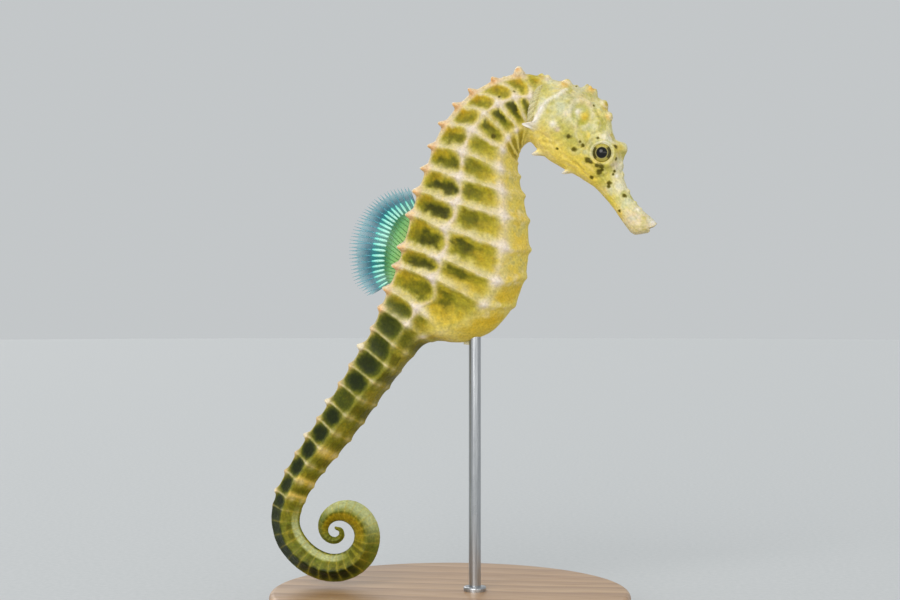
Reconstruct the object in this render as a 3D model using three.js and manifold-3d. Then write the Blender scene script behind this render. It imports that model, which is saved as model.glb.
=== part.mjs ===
// A common seahorse as a life-size still model: head bent down, tail tip curled, on a display stand.
// Millimetres, +Z up. The animal faces +X, its right side is towards -Y, and its middle plane is Y = 0.
// The origin is the middle of the underside of the stand's base.

import * as THREE from 'three';
import { mergeVertices } from 'three/addons/utils/BufferGeometryUtils.js';
import Module from 'manifold-3d';

const wasm = await Module();
wasm.setup();

// ---------------------------------------------------------------- driving dimensions

const GAP = 0.3; // clearance between neighbouring pieces

const BASE_RADIUS = 36;
const BASE_HEIGHT = 6;
const BASE_CHAMFER = 0.8;
const ROD_RADIUS = 1.2;
const ROD_X = 5.0; // the rod rises under the last trunk ring, ahead of the anal fin
const ROD_FOOT_DEPTH = 3; // how deep the rod stands in the base
const ROD_TOP = 59.2; // the rod's top end, let into the belly

// Shapes of a cross-section, from the middle of the back down the side to the middle of the belly.
// Each corner is [outwards, towards the back], in half widths and half depths.
// The corners are the middle of the back, the upper ridge, the side ridge, the lower ridge and the keel.
// swell is how far each of the four faces between them stands out, in half depths.
const SECTIONS = {
  tube: { corners: [[0, 1], [0.71, 0.71], [1, 0], [0.71, -0.71], [0, -1]], swell: [0.076, 0.076, 0.076, 0.076] },
  face: { corners: [[0, 1], [0.66, 0.72], [1, 0.12], [0.74, -0.58], [0, -1]], swell: [0.05, 0.07, 0.09, 0.08] },
  skull: { corners: [[0, 1], [0.5, 0.9], [1, 0.22], [0.8, -0.55], [0, -1]], swell: [0.03, 0.08, 0.1, 0.08] },
  neck: { corners: [[0, 0.95], [0.5, 1], [1, 0.3], [0.8, -0.55], [0, -1]], swell: [0.0, 0.05, 0.06, 0.06] },
  trunk: { corners: [[0, 0.92], [0.5, 1], [1, 0.27], [0.78, -0.6], [0, -1]], swell: [0.0, 0.02, 0.03, 0.03] },
  belly: { corners: [[0, 0.92], [0.5, 1], [1, 0.38], [0.8, -0.62], [0, -1]], swell: [0.0, 0.01, 0.04, 0.04] },
  hip: { corners: [[0, 0.93], [0.56, 1], [1, 0.22], [0.76, -0.55], [0, -1]], swell: [0.0, 0.01, 0.03, 0.05] },
  rump: { corners: [[0, 0.93], [0.68, 1], [1, -0.13], [0.7, -0.7], [0, -1]], swell: [0.0, 0.0, 0.03, 0.05] },
  root: { corners: [[0, 0.93], [0.76, 1], [1, -0.33], [0.64, -0.84], [0, -1]], swell: [0.0, -0.01, 0.04, 0.05] },
  tail: { corners: [[0, 0.93], [0.95, 1], [1, -0.85], [0.52, -1], [0, -1.06]], swell: [0.0, -0.03, 0.02, 0.01] },
};

// Cross-sections from the lips to the rump: [back x, z], [throat or belly x, z], half width, shape.
// Numbers 0 to 10 are the head. The trunk's bony rings 1 to 12 follow, and then the first tail ring.
// Number 22 is the corner of the belly, which lies between two rings and carries none itself.
const RIBS = [
  { name: 'lips', back: [41.1, 79.0], belly: [39.3, 77.2], half: 1.45, section: 'tube' },
  { name: 'mouth', back: [40.0, 80.2], belly: [36.5, 77.0], half: 2.15, section: 'tube' },
  { name: 'snout end', back: [38.4, 81.6], belly: [34.6, 79.1], half: 1.95, section: 'tube' },
  { name: 'snout middle', back: [36.2, 84.3], belly: [32.4, 82.3], half: 1.9, section: 'tube' },
  { name: 'snout base', back: [34.5, 88.4], belly: [29.1, 86.0], half: 2.6, section: 'tube' },
  { name: 'eye front', back: [34.1, 92.2], belly: [25.6, 88.4], half: 3.9, section: 'face' },
  { name: 'eye rear', back: [32.6, 96.6], belly: [22.4, 90.2], half: 4.9, section: 'face' },
  { name: 'forehead', back: [31.7, 100.5], belly: [19.7, 91.9], half: 5.3, section: 'skull' },
  { name: 'crown', back: [29.1, 104.4], belly: [17.6, 93.9], half: 5.4, section: 'skull' },
  { name: 'back of head', back: [24.8, 106.4], belly: [16.5, 95.2], half: 5.3, section: 'skull' },
  { name: 'nape', back: [19.4, 107.9], belly: [15.9, 95.4], half: 4.9, section: 'neck' },
  { name: 'ring 1', back: [14.1, 108.8], belly: [15.2, 95.0], half: 4.9, section: 'neck' },
  { name: 'ring 2', back: [9.3, 107.6], belly: [14.6, 94.4], half: 5.1, section: 'neck' },
  { name: 'ring 3', back: [5.0, 105.3], belly: [14.1, 93.5], half: 5.4, section: 'neck' },
  { name: 'ring 4', back: [2.0, 102.6], belly: [13.8, 92.6], half: 5.8, section: 'trunk' },
  { name: 'ring 5', back: [-0.8, 99.0], belly: [13.6, 91.2], half: 6.2, section: 'trunk' },
  { name: 'ring 6', back: [-2.9, 94.7], belly: [13.8, 88.6], half: 6.6, section: 'trunk' },
  { name: 'ring 7', back: [-4.3, 90.3], belly: [14.6, 84.8], half: 7.0, section: 'trunk' },
  { name: 'ring 8', back: [-5.9, 85.8], belly: [15.5, 79.9], half: 7.4, section: 'trunk' },
  { name: 'ring 9', back: [-7.2, 81.2], belly: [15.8, 74.2], half: 7.6, section: 'belly' },
  { name: 'ring 10', back: [-8.9, 74.9], belly: [15.1, 68.8], half: 7.5, section: 'belly' },
  { name: 'ring 11', back: [-10.0, 71.1], belly: [13.0, 63.2], half: 7.0, section: 'belly' },
  { name: 'belly corner', back: [-10.9, 68.8], belly: [8.6, 57.9], half: 6.3, section: 'hip' },
  { name: 'ring 12', back: [-12.0, 66.2], belly: [2.6, 55.6], half: 5.6, section: 'hip' },
  { name: 'tail ring 1', back: [-13.7, 62.2], belly: [-4.0, 55.6], half: 4.9, section: 'rump' },
];
const FIRST_RING = 11; // the rib that is trunk ring 1
const BELLY_CORNER = 22; // the rib that is no ring
const CURL_START = 36; // from this rib on, the tail's rings are smooth
const TAIL_START = RIBS.length; // the first rib of the free tail

// The free tail is a line in the middle plane, given by its heading at some lengths along it.
const TAIL_ROOT = [-11.77, 54.95];
const TAIL_LENGTH = 89.5;
const TAIL_HEADINGS = [
  [0, -127], [12, -123.4], [26, -126.6], [34, -119], [40, -103], [46, -62], [54, -21], [60, 22],
  [66, 74], [72, 137], [76, 187], [80, 240], [84, 326], [87, 421], [89.5, 550],
];
const TAIL_HALF_DEPTHS = [
  [0, 4.7], [8, 4.2], [20, 3.8], [34, 3.1], [54, 2.95], [68, 2.55], [74, 2.3], [79, 1.5], [83, 0.9],
  [87, 0.62], [89.5, 0.35],
];
const TAIL_WIDTH_RATIO = 0.95; // half width to half depth of the squarish tail
// The tail is turned about its own line, so that its belly side looks partly to the right.
const TAIL_TURNS = [[0, 8], [12, 26], [30, 40], [45, 50], [89.5, 50]];
const TAIL_RING_FIRST = 4.4; // length of the first free tail ring
const TAIL_RING_LAST = 1.0; // length of the last

// Raised rims and spines of the bony rings.
const RIM_RISE = 0.06; // in half depths
const RIM_RISE_MOST = 0.3;
const TRUNK_SPINES = { 1: 0.55, 2: 0.3, 3: 0.25 }; // by ridge: upper, side, lower
const TAIL_SPINES = { 1: 0.16, 2: 0.09, 3: 0.0 }; // in half depths
const SHOULDER_SPINE = 1.1; // the tall spine on trunk ring 1
const TALL_RINGS = [23, 26, 29, 31, 34]; // ribs with taller upper spines
const TALL_SPINE = 1.8; // times the usual height

// Cuts between the named lengths of the body, as rib numbers and parts of one.
const SNOUT_TO_HEAD = 4.4;
const HEAD_TO_NECK = 10.4;
const NECK_TO_CHEST = 13.5;
const CHEST_TO_BELLY = 17.5;
const BELLY_TO_TAIL = 23.5;
const TAIL_CUTS = [14, 34, 54, 66, 76.5]; // lengths along the free tail

const EYE_RADIUS = 2.05;
const EYE_CENTRE = [30.5, 3.1, 92.7]; // of the left eye; the right one is its mirror image
const GILL_COVER_CENTRE = [21.6, 3.9, 100.4];
const GILL_COVER_RADII = [4.6, 1.9, 5.4];
const GILL_COVER_LEAN = -35; // degrees about Y

const CORONET_RIB = 8.55; // the low crown stands here, on the back of the head
const CORONET_RADIUS = 2.2;
const CORONET_HEIGHT = 0.7;
const CORONET_POINTS = 5;
const CORONET_POINT_HEIGHT = 0.6;

// Single spines of the head: foot, direction, height and foot radius, given for the left side.
const NOSE_SPINE = { foot: [33.6, 0, 94.2], along: [1, 0, 0.12], height: 1.5, radius: 1.15 };
const PAIRED_SPINES = [
  { foot: [30.3, 3.2, 96.9], along: [0.3, 0.6, 0.75], height: 1.5, radius: 0.7 }, // above the eye
  { foot: [24.6, 3.4, 92.2], along: [-0.2, 0.6, -0.75], height: 2.2, radius: 0.75 }, // cheek
  { foot: [20.2, 3.1, 94.3], along: [-0.3, 0.75, -0.6], height: 2.0, radius: 0.7 }, // throat
];

const FIN_THICKNESS = 0.6;
const DORSAL_FIN = { from: 18.5, to: 22.3, rays: 17, firstAngle: 140, lastAngle: 225 };
const PECTORAL_FIN = { at: 10.55, from: 1.35, to: 2.45, rays: 9, length: 2.5, flare: 0.3, clearance: 0.9 };
const ANAL_FIN = { from: 23.1, to: 23.38, rays: 4, length: 0.9, clearance: 0.45 };

// ---------------------------------------------------------------- small helpers

function lerp(a, b, t) {
  return a + (b - a) * t;
}

// Value at x of a list of [x, value] pairs, eased smoothly from one pair to the next.
function along(pairs, x) {
  const last = pairs.length - 1;
  if (x <= pairs[0][0]) return pairs[0][1];
  if (x >= pairs[last][0]) return pairs[last][1];
  const i = pairs.findIndex((pair) => pair[0] > x) - 1;
  const slope = (k) => {
    const lower = pairs[Math.max(k - 1, 0)];
    const upper = pairs[Math.min(k + 1, last)];
    return (upper[1] - lower[1]) / (upper[0] - lower[0]);
  };
  const width = pairs[i + 1][0] - pairs[i][0];
  const t = (x - pairs[i][0]) / width;
  const rise = pairs[i + 1][1] - pairs[i][1];
  const m0 = slope(i) * width;
  const m1 = slope(i + 1) * width;
  return pairs[i][1] + m0 * t + (3 * rise - 2 * m0 - m1) * t * t + (m0 + m1 - 2 * rise) * t * t * t;
}

// Catmull-Rom value at u of a list with one number for each whole u.
function spline(values, u) {
  const last = values.length - 1;
  const i = Math.min(Math.max(Math.floor(u), 0), last - 1);
  const t = u - i;
  const p1 = values[i];
  const p2 = values[i + 1];
  const p0 = i > 0 ? values[i - 1] : 2 * p1 - p2;
  const p3 = i + 2 <= last ? values[i + 2] : 2 * p2 - p1;
  const m1 = (p2 - p0) / 2;
  const m2 = (p3 - p1) / 2;
  return p1 + m1 * t + (3 * (p2 - p1) - 2 * m1 - m2) * t * t + (m1 + m2 - 2 * (p2 - p1)) * t * t * t;
}

// ---------------------------------------------------------------- the body's form

// Points of the free tail's middle line, every 0.05 mm, by following its heading.
function tailLine() {
  const step = 0.05;
  const line = [{ x: TAIL_ROOT[0], z: TAIL_ROOT[1] }];
  for (let s = step / 2; s < TAIL_LENGTH; s += step) {
    const heading = THREE.MathUtils.degToRad(along(TAIL_HEADINGS, s));
    const end = line[line.length - 1];
    line.push({ x: end.x + step * Math.cos(heading), z: end.z + step * Math.sin(heading) });
  }
  return (s) => line[Math.min(Math.round(s / step), line.length - 1)];
}

// Lengths along the free tail of its bony rings, which get shorter towards the tip.
function tailRingLengths() {
  const lengths = [0];
  let s = 0;
  while (s < TAIL_LENGTH) {
    s += TAIL_RING_LAST + (TAIL_RING_FIRST - TAIL_RING_LAST) * (1 - (s / TAIL_LENGTH) ** 2);
    lengths.push(Math.min(s, TAIL_LENGTH));
  }
  return lengths;
}

const tailPoint = tailLine();
const tailRings = tailRingLengths();

// All ribs from lips to tail tip, each with its back and belly points, width ratio, shape and turn.
function allRibs() {
  const ribs = RIBS.map((rib) => {
    const depth = Math.hypot(rib.back[0] - rib.belly[0], rib.back[1] - rib.belly[1]) / 2;
    return { ...rib, ratio: rib.half / depth, shape: SECTIONS[rib.section], turn: 0 };
  });
  tailRings.forEach((s, index) => {
    const middle = tailPoint(s);
    const heading = THREE.MathUtils.degToRad(along(TAIL_HEADINGS, s));
    const depth = along(TAIL_HALF_DEPTHS, s);
    const towardsBack = [Math.sin(heading) * depth, -Math.cos(heading) * depth];
    ribs.push({
      back: [middle.x + towardsBack[0], middle.z + towardsBack[1]],
      belly: [middle.x - towardsBack[0], middle.z - towardsBack[1]],
      ratio: TAIL_WIDTH_RATIO,
      shape: index < 1 ? SECTIONS.root : SECTIONS.tail,
      turn: along(TAIL_TURNS, s),
    });
  });
  return ribs;
}

const ribs = allRibs();
const lastRib = ribs.length - 1;

// Rib number of a length along the free tail.
function ribAtTailLength(s) {
  const i = Math.max(tailRings.findIndex((length) => length > s) - 1, 0);
  return TAIL_START + i + (s - tailRings[i]) / (tailRings[i + 1] - tailRings[i]);
}

// The four faces of a section and its five corners, blended between the two ribs beside u.
function sectionAt(u) {
  const i = Math.min(Math.floor(u), lastRib - 1);
  const t = u - i;
  const a = ribs[i];
  const b = ribs[i + 1];
  const turn = THREE.MathUtils.degToRad(lerp(a.turn, b.turn, t));
  const ratio = lerp(a.ratio, b.ratio, t);
  const corners = a.shape.corners.map((corner, k) => [
    lerp(corner[0], b.shape.corners[k][0], t) * ratio,
    lerp(corner[1], b.shape.corners[k][1], t),
  ]);
  const swell = a.shape.swell.map((value, k) => lerp(value, b.shape.swell[k], t));
  return { corners, swell, turn };
}

// Point of a section's outline at way, 0 to 8: 0 is the back, 1 to 3 the right ridges, 4 the keel
// and 5 to 7 the left ridges. Gives [to the right, towards the back] in half depths, turned.
function outlinePoint(section, way) {
  const onRight = way <= 4;
  const w = onRight ? way : 8 - way;
  const face = Math.min(Math.floor(w), 3);
  const t = w - face;
  const a = section.corners[face];
  const b = section.corners[face + 1];
  const dx = b[0] - a[0];
  const dz = b[1] - a[1];
  const length = Math.hypot(dx, dz);
  const out = section.swell[face] * 4 * t * (1 - t);
  const x = a[0] + dx * t - (dz / length) * out;
  const z = a[1] + dz * t + (dx / length) * out;
  const right = onRight ? x : -x;
  const cos = Math.cos(section.turn);
  const sin = Math.sin(section.turn);
  return [right * cos - z * sin, right * sin + z * cos];
}

// How far the spines at a ridge stand out of ring rib, in mm.
function spineHeight(rib, ridge, halfDepth) {
  if (rib < FIRST_RING || rib === BELLY_CORNER || rib >= CURL_START) return 0;
  const tall = ridge === 1 && TALL_RINGS.includes(rib) ? TALL_SPINE : 1;
  if (rib < TAIL_START) {
    if (rib === FIRST_RING && ridge === 1) return SHOULDER_SPINE;
    return (TRUNK_SPINES[ridge] ?? 0) * tall;
  }
  return (TAIL_SPINES[ridge] ?? 0) * tall * halfDepth;
}

// Ring of points round the body at rib number u. slices is how many points each face gets.
// shift moves the whole ring along the body, in mm.
function bodyRing(u, slices, shift = 0) {
  const back = [spline(ribs.map((r) => r.back[0]), u), spline(ribs.map((r) => r.back[1]), u)];
  const belly = [spline(ribs.map((r) => r.belly[0]), u), spline(ribs.map((r) => r.belly[1]), u)];
  const middle = [(back[0] + belly[0]) / 2, (back[1] + belly[1]) / 2];
  const up = [(back[0] - belly[0]) / 2, (back[1] - belly[1]) / 2];
  const depth = Math.hypot(up[0], up[1]);
  const towards = [-up[1] / depth, up[0] / depth]; // towards the tail tip
  const section = sectionAt(u);
  const count = 8 * slices;
  const outline = Array.from({ length: count }, (_, k) => outlinePoint(section, k / slices));
  const heights = outline.map((point) => point[1]);
  const reach = (Math.max(...heights) - Math.min(...heights)) / 2;
  const centre = (Math.max(...heights) + Math.min(...heights)) / 2;
  const nearest = Math.round(u);
  const onRing = Math.abs(u - nearest) < 1e-6 && u >= FIRST_RING && nearest !== BELLY_CORNER;
  const rim = onRing ? Math.min(RIM_RISE * depth, RIM_RISE_MOST) : 0;
  return outline.map((point, k) => {
    let right = (point[0] / reach) * depth;
    let high = ((point[1] - centre) / reach) * depth;
    const ridge = k / slices <= 4 ? k / slices : 8 - k / slices;
    const spine = onRing && Number.isInteger(ridge) ? spineHeight(nearest, ridge, depth) : 0;
    const far = Math.hypot(right, high);
    right *= 1 + (rim + spine) / far;
    high *= 1 + (rim + spine) / far;
    return new THREE.Vector3(
      middle[0] + (up[0] / depth) * high + towards[0] * shift,
      -right,
      middle[1] + (up[1] / depth) * high + towards[1] * shift,
    );
  });
}

// One point of the body's surface.
function bodyPoint(u, way) {
  const slices = 20;
  return bodyRing(u, slices)[Math.round(way * slices)];
}

// ---------------------------------------------------------------- solids

function signedVolume(positions, triangles) {
  const corner = (k) => new THREE.Vector3(...positions.slice(3 * k, 3 * k + 3));
  let sum = 0;
  for (let i = 0; i < triangles.length; i += 3) {
    const [a, b, c] = [corner(triangles[i]), corner(triangles[i + 1]), corner(triangles[i + 2])];
    sum += a.dot(b.cross(c)) / 6;
  }
  return sum;
}

// Closed solid through a row of like point rings, with a flat fan at each end.
function loft(rings) {
  const count = rings[0].length;
  const positions = rings.flat().flatMap((p) => [p.x, p.y, p.z]);
  const triangles = [];
  for (let i = 0; i + 1 < rings.length; i += 1) {
    for (let k = 0; k < count; k += 1) {
      const a = i * count + k;
      const b = i * count + ((k + 1) % count);
      triangles.push(a, b, a + count, b, b + count, a + count);
    }
  }
  [0, rings.length - 1].forEach((i) => {
    const centre = rings[i].reduce((sum, p) => sum.add(p), new THREE.Vector3()).divideScalar(count);
    const hub = positions.length / 3;
    positions.push(centre.x, centre.y, centre.z);
    for (let k = 0; k < count; k += 1) {
      const a = i * count + k;
      const b = i * count + ((k + 1) % count);
      if (i === 0) triangles.push(hub, b, a);
      else triangles.push(hub, a, b);
    }
  });
  if (signedVolume(positions, triangles) < 0) triangles.reverse();
  const geometry = new THREE.BufferGeometry();
  geometry.setAttribute('position', new THREE.Float32BufferAttribute(positions, 3));
  geometry.setIndex(triangles);
  return geometry;
}

// Length of the body between two rib numbers, with parts rings for each rib and a gap at its cut ends.
function bodyLength(from, to, parts, slices) {
  const places = [from];
  const first = Math.floor(from * parts) + 1;
  for (let k = first; k / parts < to - 1e-6; k += 1) {
    const u = k / parts;
    if (u - from > 0.12 && to - u > 0.12) places.push(u);
  }
  places.push(to);
  const rings = places.map((u, index) => {
    const startShift = index === 0 && from > 0 ? GAP / 2 : 0;
    const endShift = index === places.length - 1 && to < lastRib ? -GAP / 2 : 0;
    return bodyRing(u, slices, startShift + endShift);
  });
  return loft(rings);
}

// Thin fin between root and tip points, ray by ray; side is its thickness direction.
function fin(roots, tips, side, thickness) {
  const half = side.clone().normalize().multiplyScalar(thickness / 2);
  const rings = roots.map((root, i) => [
    root.clone().add(half),
    tips[i].clone().add(half),
    tips[i].clone().sub(half),
    root.clone().sub(half),
  ]);
  return loft(rings);
}

function toSolid(geometry) {
  const bare = geometry.clone();
  Object.keys(bare.attributes).filter((name) => name !== 'position').forEach((name) => {
    bare.deleteAttribute(name);
  });
  const merged = mergeVertices(bare, 1e-5);
  return new wasm.Manifold(new wasm.Mesh({
    numProp: 3,
    vertProperties: new Float32Array(merged.attributes.position.array),
    triVerts: new Uint32Array(merged.index.array),
  }));
}

function toGeometry(solid) {
  const mesh = solid.getMesh();
  const geometry = new THREE.BufferGeometry();
  geometry.setAttribute('position', new THREE.BufferAttribute(mesh.vertProperties, 3));
  geometry.setIndex(new THREE.BufferAttribute(mesh.triVerts, 1));
  return geometry;
}

function joined(geometry, additions) {
  return toGeometry(additions.reduce((solid, piece) => solid.add(toSolid(piece)), toSolid(geometry)));
}

function cut(geometry, tools) {
  return toGeometry(tools.reduce((solid, tool) => solid.subtract(toSolid(tool)), toSolid(geometry)));
}

// Place on the given side: 1 is the left (+Y), -1 the right.
function onSide(place, side) {
  return new THREE.Vector3(place[0], place[1] * side, place[2]);
}

function ball(radii, place, lean = 0) {
  const segments = 16;
  const geometry = new THREE.SphereGeometry(1, segments, Math.round(segments * 0.6));
  geometry.scale(radii[0], radii[1], radii[2]);
  geometry.rotateY(THREE.MathUtils.degToRad(lean));
  geometry.translate(place.x, place.y, place.z);
  return geometry;
}

function pole(radius, bottom, top, x) {
  const geometry = new THREE.CylinderGeometry(radius, radius, top - bottom, 20);
  geometry.rotateX(Math.PI / 2);
  geometry.translate(x, 0, (top + bottom) / 2);
  return geometry;
}

// Blunt cone that starts a little inside the skin, so that it joins what it grows from.
function spineCone(foot, direction, height, radius) {
  const sunk = radius;
  const geometry = new THREE.CylinderGeometry(radius * 0.25, radius, height + sunk, 8);
  const axis = direction.clone().normalize();
  geometry.translate(0, (height - sunk) / 2, 0);
  geometry.applyQuaternion(new THREE.Quaternion().setFromUnitVectors(new THREE.Vector3(0, 1, 0), axis));
  geometry.translate(foot.x, foot.y, foot.z);
  return geometry;
}

// ---------------------------------------------------------------- the pieces

function headSpines() {
  const nose = spineCone(
    onSide(NOSE_SPINE.foot, 1), onSide(NOSE_SPINE.along, 1), NOSE_SPINE.height, NOSE_SPINE.radius,
  );
  const pairs = [1, -1].flatMap((side) => PAIRED_SPINES.map((spine) => (
    spineCone(onSide(spine.foot, side), onSide(spine.along, side), spine.height, spine.radius)
  )));
  return [nose, ...pairs];
}

function eye(side, extra = 0) {
  const radius = EYE_RADIUS + extra;
  return ball([radius, radius, radius], onSide(EYE_CENTRE, side));
}

function gillCover(side, extra = 0) {
  const radii = GILL_COVER_RADII.map((radius) => radius + extra);
  return ball(radii, onSide(GILL_COVER_CENTRE, side), GILL_COVER_LEAN);
}

function head() {
  const skull = joined(bodyLength(SNOUT_TO_HEAD, HEAD_TO_NECK, 3, 3), headSpines());
  const sockets = [1, -1].map((side) => eye(side, GAP));
  const gillPockets = [1, -1].map((side) => gillCover(side, GAP));
  return cut(skull, [...sockets, ...gillPockets]);
}

// Low crown with blunt points round its rim, standing on the back of the head.
function coronet() {
  const foot = bodyPoint(CORONET_RIB, 0);
  const upwards = foot.clone().sub(bodyPoint(CORONET_RIB, 4)).normalize();
  const forwards = new THREE.Vector3(upwards.z, 0, -upwards.x);
  const sideways = new THREE.Vector3(0, 1, 0);
  const steps = CORONET_POINTS * 2;
  const level = (height, radius, pointHeight) => Array.from({ length: steps }, (_, k) => {
    const angle = (k / steps) * 2 * Math.PI;
    const isPoint = k % 2 === 0;
    return foot.clone()
      .addScaledVector(upwards, height + (isPoint ? pointHeight : 0))
      .addScaledVector(forwards, radius * Math.cos(angle) * (isPoint ? 1.05 : 0.85))
      .addScaledVector(sideways, radius * Math.sin(angle) * (isPoint ? 1.05 : 0.85));
  });
  const crown = loft([
    level(-1.5, CORONET_RADIUS, 0),
    level(CORONET_HEIGHT * 0.5, CORONET_RADIUS * 0.86, 0),
    level(CORONET_HEIGHT, CORONET_RADIUS, CORONET_POINT_HEIGHT),
    level(CORONET_HEIGHT * 0.8, CORONET_RADIUS * 0.45, 0),
  ]);
  const headWithGap = bodyLength(SNOUT_TO_HEAD, HEAD_TO_NECK, 3, 3);
  headWithGap.translate(upwards.x * GAP, 0, upwards.z * GAP);
  return cut(crown, [headWithGap]);
}

function dorsalFin() {
  const { from, to, rays, firstAngle, lastAngle } = DORSAL_FIN;
  const roots = [];
  const tips = [];
  for (let i = 0; i < rays; i += 1) {
    const t = i / (rays - 1);
    const u = lerp(from, to, t);
    const skin = bodyPoint(u, 0);
    const outwards = skin.clone().sub(bodyPoint(u, 4)).normalize();
    const root = skin.addScaledVector(outwards, GAP + RIM_RISE_MOST);
    const angle = THREE.MathUtils.degToRad(lerp(firstAngle, lastAngle, t));
    const length = 3.6 + 2.9 * t + 6 * Math.sin(Math.PI * t ** 0.9);
    roots.push(root);
    tips.push(root.clone().add(new THREE.Vector3(Math.cos(angle) * length, 0, Math.sin(angle) * length)));
  }
  return fin(roots, tips, new THREE.Vector3(0, 1, 0), FIN_THICKNESS);
}

// Fan on the side of the neck, just behind the gill cover, leaning away from the body.
function pectoralFin(side) {
  const { at, from, to, rays, length, flare, clearance } = PECTORAL_FIN;
  const way = (t) => (side < 0 ? lerp(from, to, t) : 8 - lerp(from, to, t));
  const outwards = new THREE.Vector3(0, side, 0);
  const roots = [];
  const tips = [];
  for (let i = 0; i < rays; i += 1) {
    const t = i / (rays - 1);
    const root = bodyPoint(at, way(t)).addScaledVector(outwards, clearance);
    const angle = THREE.MathUtils.degToRad(lerp(210, 226, t));
    const reach = length * (0.8 + 0.2 * Math.sin(Math.PI * t));
    const ray = new THREE.Vector3(Math.cos(angle), 0, Math.sin(angle)).addScaledVector(outwards, flare);
    roots.push(root);
    tips.push(root.clone().addScaledVector(ray, reach));
  }
  return fin(roots, tips, outwards, FIN_THICKNESS);
}

function analFin() {
  const { from, to, rays, length, clearance } = ANAL_FIN;
  const downwards = new THREE.Vector3(0, 0, -1);
  const roots = [];
  const tips = [];
  for (let i = 0; i < rays; i += 1) {
    const u = lerp(from, to, i / (rays - 1));
    const root = bodyPoint(u, 4).addScaledVector(downwards, clearance);
    roots.push(root);
    tips.push(root.clone().addScaledVector(downwards, length));
  }
  return fin(roots, tips, new THREE.Vector3(0, 1, 0), FIN_THICKNESS);
}

function standBase() {
  const r = BASE_RADIUS;
  const c = BASE_CHAMFER;
  const profile = [[0, 0], [r - c, 0], [r, c], [r, BASE_HEIGHT - c], [r - c, BASE_HEIGHT], [0, BASE_HEIGHT]];
  const disc = new THREE.LatheGeometry(profile.map((p) => new THREE.Vector2(p[0], p[1])), 48);
  disc.rotateX(Math.PI / 2);
  const hole = pole(ROD_RADIUS + GAP, BASE_HEIGHT - ROD_FOOT_DEPTH, BASE_HEIGHT + 1, ROD_X);
  return cut(disc, [hole]);
}

function standRod() {
  return pole(ROD_RADIUS, BASE_HEIGHT - ROD_FOOT_DEPTH + GAP, ROD_TOP, ROD_X);
}

function belly() {
  const socket = pole(ROD_RADIUS + GAP, ROD_TOP - 12, ROD_TOP + GAP, ROD_X);
  return cut(bodyLength(CHEST_TO_BELLY, BELLY_TO_TAIL, 4, 2), [socket]);
}

// The tail in lengths, so that no single piece bends far round the open middle of the curl.
function tailLengths() {
  const names = ['tail_base', 'tail_middle', 'tail_curl_outer', 'tail_curl_front', 'tail_curl_top', 'tail_tip'];
  const cuts = [BELLY_TO_TAIL, ...TAIL_CUTS.map((s) => ribAtTailLength(s)), lastRib];
  return names.map((name, i) => {
    const isTip = i === names.length - 1;
    return [name, bodyLength(cuts[i], cuts[i + 1], i < 4 ? 3 : 2, isTip ? 1 : 2)];
  });
}

// ---------------------------------------------------------------- the model

const COLOURS = {
  face: { color: 0xd8cf94, roughness: 0.5, metalness: 0 },
  throat: { color: 0xdcbf5a, roughness: 0.5, metalness: 0 },
  plates: { color: 0x8f8d3c, roughness: 0.55, metalness: 0 },
  tail: { color: 0x6f6f33, roughness: 0.55, metalness: 0 },
  fin: { color: 0x8fc4c9, roughness: 0.35, metalness: 0 },
  eye: { color: 0x23261c, roughness: 0.12, metalness: 0 },
  base: { color: 0x2c2d2e, roughness: 0.6, metalness: 0 },
  steel: { color: 0xb9bcc0, roughness: 0.3, metalness: 1 },
};

const seahorse = new THREE.Group();

function place(name, geometry, look) {
  const mesh = new THREE.Mesh(geometry, new THREE.MeshStandardMaterial(COLOURS[look]));
  mesh.name = name;
  seahorse.add(mesh);
}

place('snout', bodyLength(0, SNOUT_TO_HEAD, 4, 2), 'face');
place('head', head(), 'face');
place('coronet', coronet(), 'face');
[['right', -1], ['left', 1]].forEach(([name, side]) => {
  place(`eye_${name}`, eye(side), 'eye');
  place(`gill_cover_${name}`, gillCover(side), 'throat');
  place(`pectoral_fin_${name}`, pectoralFin(side), 'fin');
});
place('neck', bodyLength(HEAD_TO_NECK, NECK_TO_CHEST, 4, 2), 'plates');
place('chest', bodyLength(NECK_TO_CHEST, CHEST_TO_BELLY, 4, 2), 'plates');
place('belly', belly(), 'plates');
place('dorsal_fin', dorsalFin(), 'fin');
place('anal_fin', analFin(), 'fin');
tailLengths().forEach(([name, geometry]) => place(name, geometry, 'tail'));
place('stand_base', standBase(), 'base');
place('stand_rod', standRod(), 'steel');

export default seahorse;
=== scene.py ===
"""A seahorse as a museum model, in Blender: skin, eyes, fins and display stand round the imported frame.

Lengths are in millimetres until a mesh is made, and metres in Blender. The animal faces +X, its right
side is towards -Y, and Z is up. The body is one surface over u, the rib number from lips to tail tip, and
way, 0 to 8 round the body: 0 is the back, 1 to 3 the right ridges, 4 the keel and 5 to 7 the left ridges.
"""

import bpy
import math
import numpy as np
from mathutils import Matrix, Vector


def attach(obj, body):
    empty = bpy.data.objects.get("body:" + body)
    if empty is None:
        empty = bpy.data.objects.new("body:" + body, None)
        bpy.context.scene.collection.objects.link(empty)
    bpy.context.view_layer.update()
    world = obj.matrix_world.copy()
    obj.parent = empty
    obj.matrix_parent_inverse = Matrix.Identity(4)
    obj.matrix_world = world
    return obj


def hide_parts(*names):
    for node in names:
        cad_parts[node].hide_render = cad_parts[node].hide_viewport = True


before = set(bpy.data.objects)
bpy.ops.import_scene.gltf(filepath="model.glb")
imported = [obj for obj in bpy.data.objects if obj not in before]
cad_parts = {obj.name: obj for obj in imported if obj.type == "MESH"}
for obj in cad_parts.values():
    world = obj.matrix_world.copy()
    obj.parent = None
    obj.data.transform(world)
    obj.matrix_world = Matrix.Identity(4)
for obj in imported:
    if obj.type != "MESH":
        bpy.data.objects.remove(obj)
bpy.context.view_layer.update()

MM = 0.001
SEED = 11

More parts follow.
